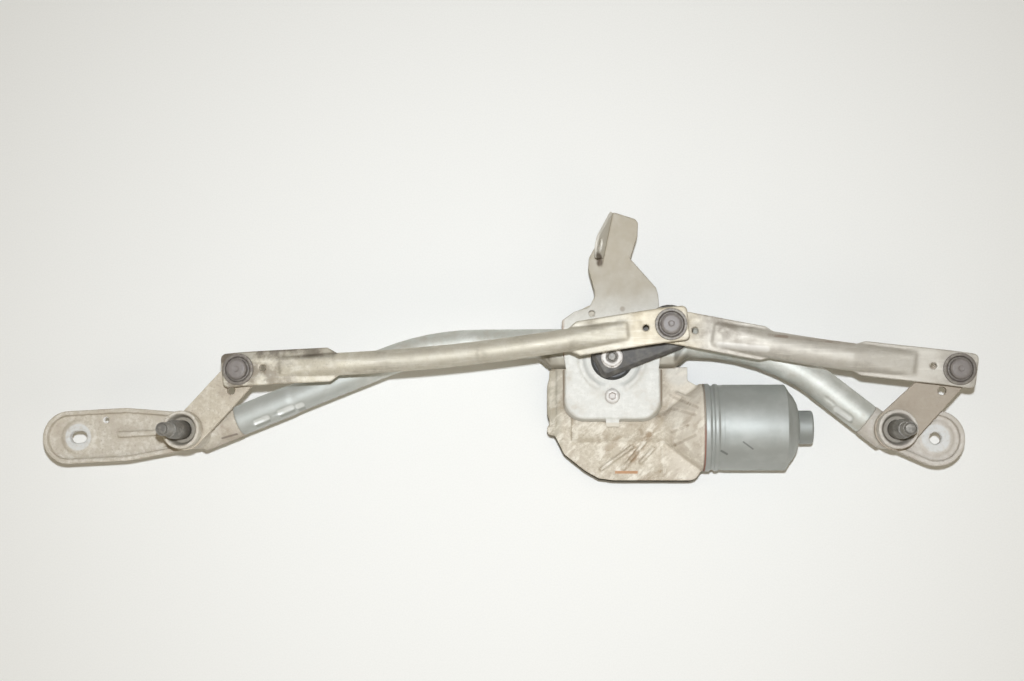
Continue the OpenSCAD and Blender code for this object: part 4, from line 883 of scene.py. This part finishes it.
def socket_section(open_top, rim_r, foot, ball, crown):
    """Closed half section, from the ball's hollow round the mouth and the outside to the crown."""
    body_r, crown_r, rim = rim_r * BODY_SHARE, rim_r * CROWN_SHARE, ball + RIM_UP
    mouth = (MOUTH_R, ball - math.sqrt(BALL_R ** 2 - MOUTH_R ** 2))
    outside = [mouth, (MOUTH_R, foot), (body_r, foot), (body_r, rim), (rim_r, rim), (rim_r, rim + RIM_H),
               (rim_r - RIM_W, rim + RIM_H), (crown_r + GROOVE_W, rim + 0.5), (crown_r, rim + 0.6)]
    if open_top:
        hollow = [(BALL_R * math.cos(t), ball + BALL_R * math.sin(t)) for t in (0.5, 0, -0.5)]
        return rounded(hollow + outside + [(crown_r, crown), (MOUTH_R, crown), hollow[0]], 0.4)
    hollow = [(BALL_R * math.sin(t), ball + BALL_R * math.cos(t)) for t in (0, 0.5, 1.0, 1.5, 2.0)]
    dome = [(crown_r, crown - 1.2), (crown_r - 1.4, crown - 0.1), (DIMPLE_R, crown),
            (DIMPLE_R - 0.6, crown - 0.5), (0, crown - 0.5)]
    return rounded(hollow + outside + dome, 0.55)


for node in ("left_inner_socket", "left_outer_socket", "right_inner_socket", "right_outer_socket"):
    low, high = (Vector(c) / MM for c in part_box(node))
    ball = middle(node.split("_")[0] + "_link_rod").z / MM
    section = socket_section(node == "right_inner_socket", (high.x - low.x) / 2, low.z, ball, high.z)
    mesh = at_axis(turned_mesh(node, section), Vector((middle(node).x, middle(node).y, 0)))
    stand_in(node + "_moulded", mesh, node)
print("sockets moulded")

# %% [markdown]
# ## Spindles and cups
# A wiper spindle ends in a knurled taper, which bites into the arm, and a thread for its nut. Its
# core is turned a little under size here, because the knurl and the thread are laid on it later.
# The cup round it has a rolled lip and a deep funnel, and it is turned as well.

# %% Spindle cores and cups
TIP_R, SPINDLE_R, COLLAR_R, TIP_L, TAPER_L = 4.9, 6.0, 7.0, 15.0, 10.0
THREAD_CUT, COLLAR_UP, CUP_FLOOR, CUP_GAP, LIP_W = 0.75, 4.4, 2.6, 0.1, 2.2
spindles = {"left": left_spindle_at, "right": right_spindle_at}
for side, place in spindles.items():
    low, high = (c[2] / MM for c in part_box(f"{side}_spindle"))
    cup_low, cup_high = (Vector(c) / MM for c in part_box(f"{side}_cup"))
    foot, lip, cup_r = cup_low.z, cup_high.z, (cup_high.x - cup_low.x) / 2
    axis = Vector((place.x, place.y, 0))
    tip_z, root_r, bore_r, floor_z = high - TIP_L, TIP_R - THREAD_CUT, SPINDLE_R + CUP_GAP, foot + CUP_FLOOR
    core = [(0, low), (SPINDLE_R, low), (SPINDLE_R, foot + COLLAR_UP), (COLLAR_R, foot + COLLAR_UP),
            (COLLAR_R, tip_z - TAPER_L), (TIP_R + 0.45, tip_z), (root_r, tip_z), (root_r, high - 1),
            (TIP_R - 1.6, high), (0, high)]
    mesh = at_axis(turned_mesh(f"{side}_spindle", rounded(core, 0.35)), axis)
    stand_in(f"{side}_spindle_core", mesh, f"{side}_spindle")
    cup = [(bore_r, foot), (cup_r, foot), (cup_r, lip), (cup_r - LIP_W, lip), (cup_r - 3.0, lip - 2.0),
           (COLLAR_R + 2.4, floor_z), (COLLAR_R + 0.6, floor_z), (bore_r, floor_z), (bore_r, foot)]
    mesh = at_axis(turned_mesh(f"{side}_cup", rounded(cup, 1.1, 5)), axis)
    stand_in(f"{side}_cup_turned", mesh, f"{side}_cup")
print("spindles and cups turned")

# %% [markdown]
# ## What repeats
# Threads, knurls and screws are copies of one thing along a path. Two small node trees make them: one
# winds a ridge up a spiral, and one sets copies of its own geometry round the Z axis. Their inputs have
# names and are set before the tree first runs; the result becomes a plain mesh.


# %% Tools for node trees
def new_tree(name, inputs):
    tree = bpy.data.node_groups.new(name, "GeometryNodeTree")
    tree.interface.new_socket("Geometry", in_out="OUTPUT", socket_type="NodeSocketGeometry")
    tree.interface.new_socket("Geometry", in_out="INPUT", socket_type="NodeSocketGeometry")
    for label, kind in inputs.items():
        tree.interface.new_socket(label, in_out="INPUT", socket_type="NodeSocket" + kind)
    return tree, tree.nodes.new("NodeGroupInput").outputs


def place_node(tree, kind, links, **settings):
    """Adds a node to a tree; links gives each input socket a value or another socket."""
    made = tree.nodes.new(kind if kind.startswith("Shader") else "GeometryNode" + kind)
    for name, value in settings.items():
        setattr(made, name, value)
    for key, value in links.items():
        if isinstance(value, bpy.types.NodeSocket):
            tree.links.new(value, made.inputs[key])
        else:
            made.inputs[key].default_value = value
    return made.outputs[0]


def end_tree(tree, shape, material):
    """Makes copies real, paints them and hands them out."""
    whole = place_node(tree, "RealizeInstances", {"Geometry": shape})
    painted = place_node(tree, "SetMaterial", {"Geometry": whole, "Material": material})
    tree.links.new(painted, tree.nodes.new("NodeGroupOutput").inputs[0])
    return tree


def grow(name, tree, mesh, finish, **inputs):
    """Runs a tree on a mesh and keeps the result as a plain mesh, still round the Z axis."""
    obj = add_object(name, mesh, finish)
    run = obj.modifiers.new("grow", "NODES")
    run.node_group = tree
    inputs["Material"] = finishes[finish]
    for item in tree.interface.items_tree:
        if item.in_out == "INPUT" and item.name in inputs:
            run[item.identifier] = inputs[item.name]
    apply_modifiers(obj)
    print(name, len(obj.data.polygons), "faces")
    return obj


print("tree tools ready")


# %% A wound ridge and a ring of copies
def thread_tree():
    tree, get = new_tree("thread_ridge", {"Radius": "Float", "Height": "Float", "Turns": "Float",
                                          "Ridge": "Float", "Material": "Material"})
    spiral = place_node(tree, "CurveSpiral", {
        "Resolution": 40, "Rotations": get["Turns"], "Height": get["Height"],
        "Start Radius": get["Radius"], "End Radius": get["Radius"]})
    ridge = place_node(tree, "CurvePrimitiveCircle", {"Resolution": 6, "Radius": get["Ridge"]})
    wound = place_node(tree, "CurveToMesh", {"Curve": spiral, "Profile Curve": ridge, "Fill Caps": True})
    return end_tree(tree, wound, get["Material"])


def ring_tree():
    tree, get = new_tree("ring_of_copies", {"Count": "Int", "Material": "Material"})
    step = place_node(tree, "ShaderNodeMath", {0: 2 * math.pi, 1: get["Count"]}, operation="DIVIDE")
    index = place_node(tree, "InputIndex", {})
    angle = place_node(tree, "ShaderNodeMath", {0: index, 1: step}, operation="MULTIPLY")
    turn = place_node(tree, "ShaderNodeCombineXYZ", {"Z": angle})
    spots = place_node(tree, "Points", {"Count": get["Count"]})
    copies = place_node(tree, "InstanceOnPoints", {
        "Points": spots, "Instance": get["Geometry"], "Rotation": turn})
    return end_tree(tree, copies, get["Material"])


thread_ridge, ring_of_copies = thread_tree(), ring_tree()
print("trees:", thread_ridge.name, ring_of_copies.name)

# %% Threads on the spindle tips and the output shaft
PITCH, RIDGE = 1.25, 0.42
SHAFT_R, SHAFT_TIP_R = 5.0, 4.0


def thread(name, node, axis, r, low, high):
    tall = high - low
    obj = grow(name, thread_ridge, bpy.data.meshes.new(name), slot_of_node[node], Radius=(r - RIDGE) * MM,
               Height=tall * MM, Turns=tall / PITCH, Ridge=RIDGE * MM)
    obj.data.transform(Matrix.Translation((axis.x, axis.y, low * MM)))
    obj.data.shade_smooth()
    ride_on(obj, node)


shaft_low, shaft_high = (c[2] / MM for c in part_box("output_shaft"))
nut_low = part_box("crank_nut")[0][2] / MM
root_r = SHAFT_TIP_R - THREAD_CUT
core = [(0, shaft_low), (SHAFT_R, shaft_low), (SHAFT_R, nut_low - 2), (root_r, nut_low - 2),
        (root_r, shaft_high - 0.7), (SHAFT_TIP_R - 1.5, shaft_high), (0, shaft_high)]
stand_in("output_shaft_core", turned_mesh("output_shaft", rounded(core, 0.3)), "output_shaft")
drive_axis = Vector((0, 0, 0))
thread("output_shaft_thread", "output_shaft", drive_axis, SHAFT_TIP_R, nut_low - 1.4, shaft_high - 0.9)
for side, place in spindles.items():
    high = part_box(f"{side}_spindle")[1][2] / MM
    thread(f"{side}_spindle_thread", f"{side}_spindle", place, TIP_R, high - TIP_L + 1.2, high - 1.2)

# %% Knurled tapers on the spindles
KNURLS, KNURL_W, KNURL_TAPER = 40, 0.8, 0.8
KNURL_SUNK, KNURL_PROUD, KNURL_SLOPE = 0.6, 0.3, 0.5


def ridge_mesh(name, foot_r, top_r, low, high):
    """One long wedge that leans with the taper, on the +X side."""
    half = math.pi * foot_r / KNURLS * KNURL_W
    top_half = half * KNURL_TAPER
    verts = [(foot_r - KNURL_SUNK, -half, low), (foot_r - KNURL_SUNK, half, low),
             (foot_r + KNURL_PROUD, 0, low + KNURL_SLOPE),
             (top_r - KNURL_SUNK, -top_half, high), (top_r - KNURL_SUNK, top_half, high),
             (top_r + KNURL_PROUD, 0, high - KNURL_SLOPE)]
    mesh = bpy.data.meshes.new(name)
    mesh.from_pydata([[c * MM for c in v] for v in verts], [],
                     [(0, 1, 2), (5, 4, 3), (0, 2, 5, 3), (2, 1, 4, 5), (1, 0, 3, 4)])
    edit_mesh(mesh, face_outwards)
    return mesh


for side, place in spindles.items():
    tip_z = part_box(f"{side}_spindle")[1][2] / MM - TIP_L
    mesh = ridge_mesh(f"{side}_knurl", COLLAR_R - 0.2, TIP_R + 0.4, tip_z - TAPER_L + 0.4, tip_z - 0.2)
    obj = grow(f"{side}_spindle_knurl", ring_of_copies, mesh, "dark_steel", Count=KNURLS)
    obj.data.transform(Matrix.Translation((place.x, place.y, 0)))
    ride_on(obj, f"{side}_spindle")

# %% [markdown]
# ## Fasteners
# The plate is held by three pan-head screws with a six-lobed drive. The recess could be cut with a
# Boolean, but a turned section whose radius waves gives it without one, and the ring tree copies
# the screw three times. The crank's flange nut is turned too: its radius follows a hexagon, so the
# chamfer runs out over the corners as it does on a real nut.

# %% Plate screws with a lobed recess
SCREW_R, SCREW_HEAD_R, RECESS_R, LOBE_SHARE, SCREWS = 3, 5.7, 2.95, 0.13, 3


def lobes(r, z, angle):
    in_recess = r < SCREW_R and z > PLATE_TOP + 1
    return r * (1 + LOBE_SHARE * math.cos(6 * angle)) if in_recess else r


screw_low = Vector(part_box("plate_screws")[0]) / MM
pan = [(0, screw_low.z), (SCREW_R, screw_low.z), (SCREW_R, PLATE_TOP), (SCREW_HEAD_R, PLATE_TOP),
       (SCREW_HEAD_R, PLATE_TOP + 2.0), (4.4, PLATE_TOP + 3.7), (RECESS_R, PLATE_TOP + 4),
       (2.7, PLATE_TOP + 3.8), (2.5, PLATE_TOP + 1.8), (0, PLATE_TOP + 1.6)]
one_screw = turned_mesh("pan_screw", rounded(pan, 0.5), wobble=lobes)
circle_r = (-screw_low.y - SCREW_HEAD_R) * MM
one_screw.transform(Matrix.Rotation(-math.pi / 2, 4, "Z") @ Matrix.Translation((circle_r, 0, 0)))
settle(grow("plate_pan_screws", ring_of_copies, one_screw, "bright_steel", Count=SCREWS), "plate_screws")

# %% The crank's flange nut
NUT_BORE, FLANGE_R, FLANGE_H, NUT_H = 4.0, 8, 1.7, 8
HEX_HALF, HEX_CORNER, HEX_FROM_R = 6.5, 7.5, 6


def hexagon(r, z, angle):
    if z < nut_low + FLANGE_H or r < HEX_FROM_R:
        return r
    sector = (angle + math.pi / 6) % (math.pi / 3) - math.pi / 6
    return min(r, HEX_HALF / math.cos(sector))


nut = [(NUT_BORE, 0), (FLANGE_R, 0), (FLANGE_R, 0.8), (7.4, 1.6), (HEX_CORNER, 1.8),
       (HEX_CORNER, NUT_H - 0.9), (6.7, NUT_H), (4.9, NUT_H), (NUT_BORE, NUT_H - 0.8), (NUT_BORE, 0)]
section = rounded([(r, nut_low + z) for r, z in nut], 0.3)
stand_in("crank_flange_nut", turned_mesh("crank_nut", section, wobble=hexagon), "crank_nut")
print("screws and nut made")

# %% [markdown]
# ## The motor can
# The can is drawn from one sheet: two rolled rings, a long wall, a soft shoulder and a boss for the
# bearing. A skin would lose the rings, which are finer than its edge radius, so the can is turned
# from its section, with the inner wall as well.

# %% The drawn can
RING_PROUD, SHEET, SHOULDER_L, BOSS_R = 0.8, 2, 20.6, 12.5
can_low, can_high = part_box("motor_can")
can_r, can_end = (can_high[2] - can_low[2]) / 2 / MM - RING_PROUD, (can_high[0] - can_low[0]) / MM
wall_end, boss_x = can_end - SHOULDER_L, can_end - CAN_BOSS / MM
inner = [(0, can_end - SHEET), (10.4, can_end - SHEET), (10.4, boss_x - SHEET), (15, boss_x - SHEET),
         (can_r - SHEET, wall_end - 1), (can_r - SHEET, 0)]
rings = [(RING_PROUD, 0), (RING_PROUD, 3.6), (-0.5, 4.4), (-0.5, 6.2), (0.6, 7), (0.6, 9.4),
         (-0.3, 10.4), (-0.3, 13.0), (0, 14)]
shoulder = [(0, 0), (5, 3.1), (8.9, 6.2), (13.2, 8.5), (16.6, 9.4)]
boss = [(BOSS_R + 0.5, boss_x), (BOSS_R, boss_x + 0.6), (BOSS_R, can_end - 1), (BOSS_R - 0.9, can_end),
        (0, can_end)]
outer = [(can_r + proud, x) for proud, x in rings] + [(can_r - drop, wall_end + x) for drop, x in shoulder]
section = rounded(inner + outer + boss, 0.6)
can_axis = Vector((can_low[0], middle("motor_can").y, middle("motor_can").z))
mesh = at_axis(turned_mesh("motor_can", section, 160), can_axis, along_x=True)
stand_in("motor_can_drawn", mesh, "motor_can")
print("can drawn, wall radius", round(can_r, 2), "mm")

# %% [markdown]
# ## The stage
# The object lies on pale paper and is seen from above, a little off centre. A small lamp close to
# the camera throws the short shadows below each part, and two wide lamps and a weak, warm world
# fill them. Far from the object, where the lamps hardly reach, the paper gives off its own pale
# tone, but only towards the camera and into reflections.

# %% Paper floor
EYE, LOOK_AT = Vector((0.0054, -0.0663, 1.019)), Vector((-0.0790, 0.0182, 0.0))
FLOOR_HALF, FLOOR_GAP, LIT_MM, FAR_MM = 200, 0.0005, 600, 1600
paper = Finish("pale_paper")
paper.surface(paper.noise(1.2, 2).step(0.3, 0.7).tint(srgb(238, 238, 236), srgb(241, 241, 239)), 0.95)
camera_ray, glossy_ray, through_ray = (paper.sock.node("ShaderNodeLightPath", out=kind) for kind in (
    "Is Camera Ray", "Is Glossy Ray", "Is Transmission Ray"))
far = 1 - paper.near(LOOK_AT, LIT_MM, FAR_MM)
pale = paper.sock.node("ShaderNodeEmission", None, {"Color": srgb(232, 232, 230), "Strength": 1.0})
lit = Sock(paper.tree, paper.shader.outputs[0])
share = far * (camera_ray + glossy_ray + through_ray)
seen = paper.sock.node("ShaderNodeMixShader", None, {0: share, 1: lit, 2: pale})
paper.tree.links.new(seen.out, paper.tree.nodes["Material Output"].inputs["Surface"])
floor_mesh = bpy.data.meshes.new("floor")
corners = [(x * FLOOR_HALF, y * FLOOR_HALF, 0) for x, y in ((-1, -1), (1, -1), (1, 1), (-1, 1))]
floor_mesh.from_pydata(corners, [], [(0, 1, 2, 3)])
floor = bpy.data.objects.new("floor", floor_mesh)
floor_mesh.materials.append(paper.material)
floor.location.z = cad_box[0][2] - FLOOR_GAP
bpy.context.collection.objects.link(floor)
print("paper floor at", round(floor.location.z, 4))

# %% Lamps and room light
FLASH_COLOUR, FILL_COLOUR = (0.898, 0.945, 1.0), (1, 0.93, 0.8)
ROOM_COLOUR, ROOM_STRENGTH = (1, 0.86, 0.62, 1), 0.24


def area_lamp(name, place, aim, size, watts, colour):
    data = bpy.data.lights.new(name, "AREA")
    data.color = colour
    data.size = size
    data.energy = watts
    lamp = bpy.data.objects.new(name, data)
    lamp.location = place
    lamp.rotation_euler = (Vector(aim) - Vector(place)).to_track_quat("-Z", "Y").to_euler()
    bpy.context.collection.objects.link(lamp)


area_lamp("flash", EYE + Vector((0.006, 0.062, 0.02)), (-0.32, -0.08, 0), 0.02, 9.5, FLASH_COLOUR)
area_lamp("left_fill", (-0.9, -0.9, 1.1), (-0.1, 0, 0.03), 0.8, 1.6, FILL_COLOUR)
area_lamp("right_fill", (0.7, -0.9, 1.1), (0.0, 0, 0.03), 0.8, 1.6, FILL_COLOUR)
world = bpy.data.worlds.new("warm_room")
world.use_nodes = True
world.node_tree.nodes["Background"].inputs["Color"].default_value = ROOM_COLOUR
world.node_tree.nodes["Background"].inputs["Strength"].default_value = ROOM_STRENGTH
bpy.context.scene.world = world
print("lamps:", len(bpy.data.lights))

# %% [markdown]
# ## The camera
# The photograph looks down from about a metre above, so near pieces look larger and lean outwards.
# A flat view would lose that. The camera's place was found by laying the solids' corners over those
# in the photograph.

# %% Camera at the photograph's place
PHOTO_W, FOCAL_PX = 1024, 1300
camera_data = bpy.data.cameras.new("camera")
camera_data.sensor_width = 36
camera_data.lens = camera_data.sensor_width * FOCAL_PX / PHOTO_W
camera = bpy.data.objects.new("camera", camera_data)
forward = (LOOK_AT - EYE).normalized()
right = forward.cross(Vector((0, 1, 0))).normalized()
up = right.cross(forward)
camera.matrix_world = Matrix((right, up, -forward)).transposed().to_4x4()
camera.location = EYE
bpy.context.collection.objects.link(camera)
bpy.context.scene.camera = camera
bpy.context.scene.view_settings.view_transform = "Standard"
print("camera at", tuple(EYE))
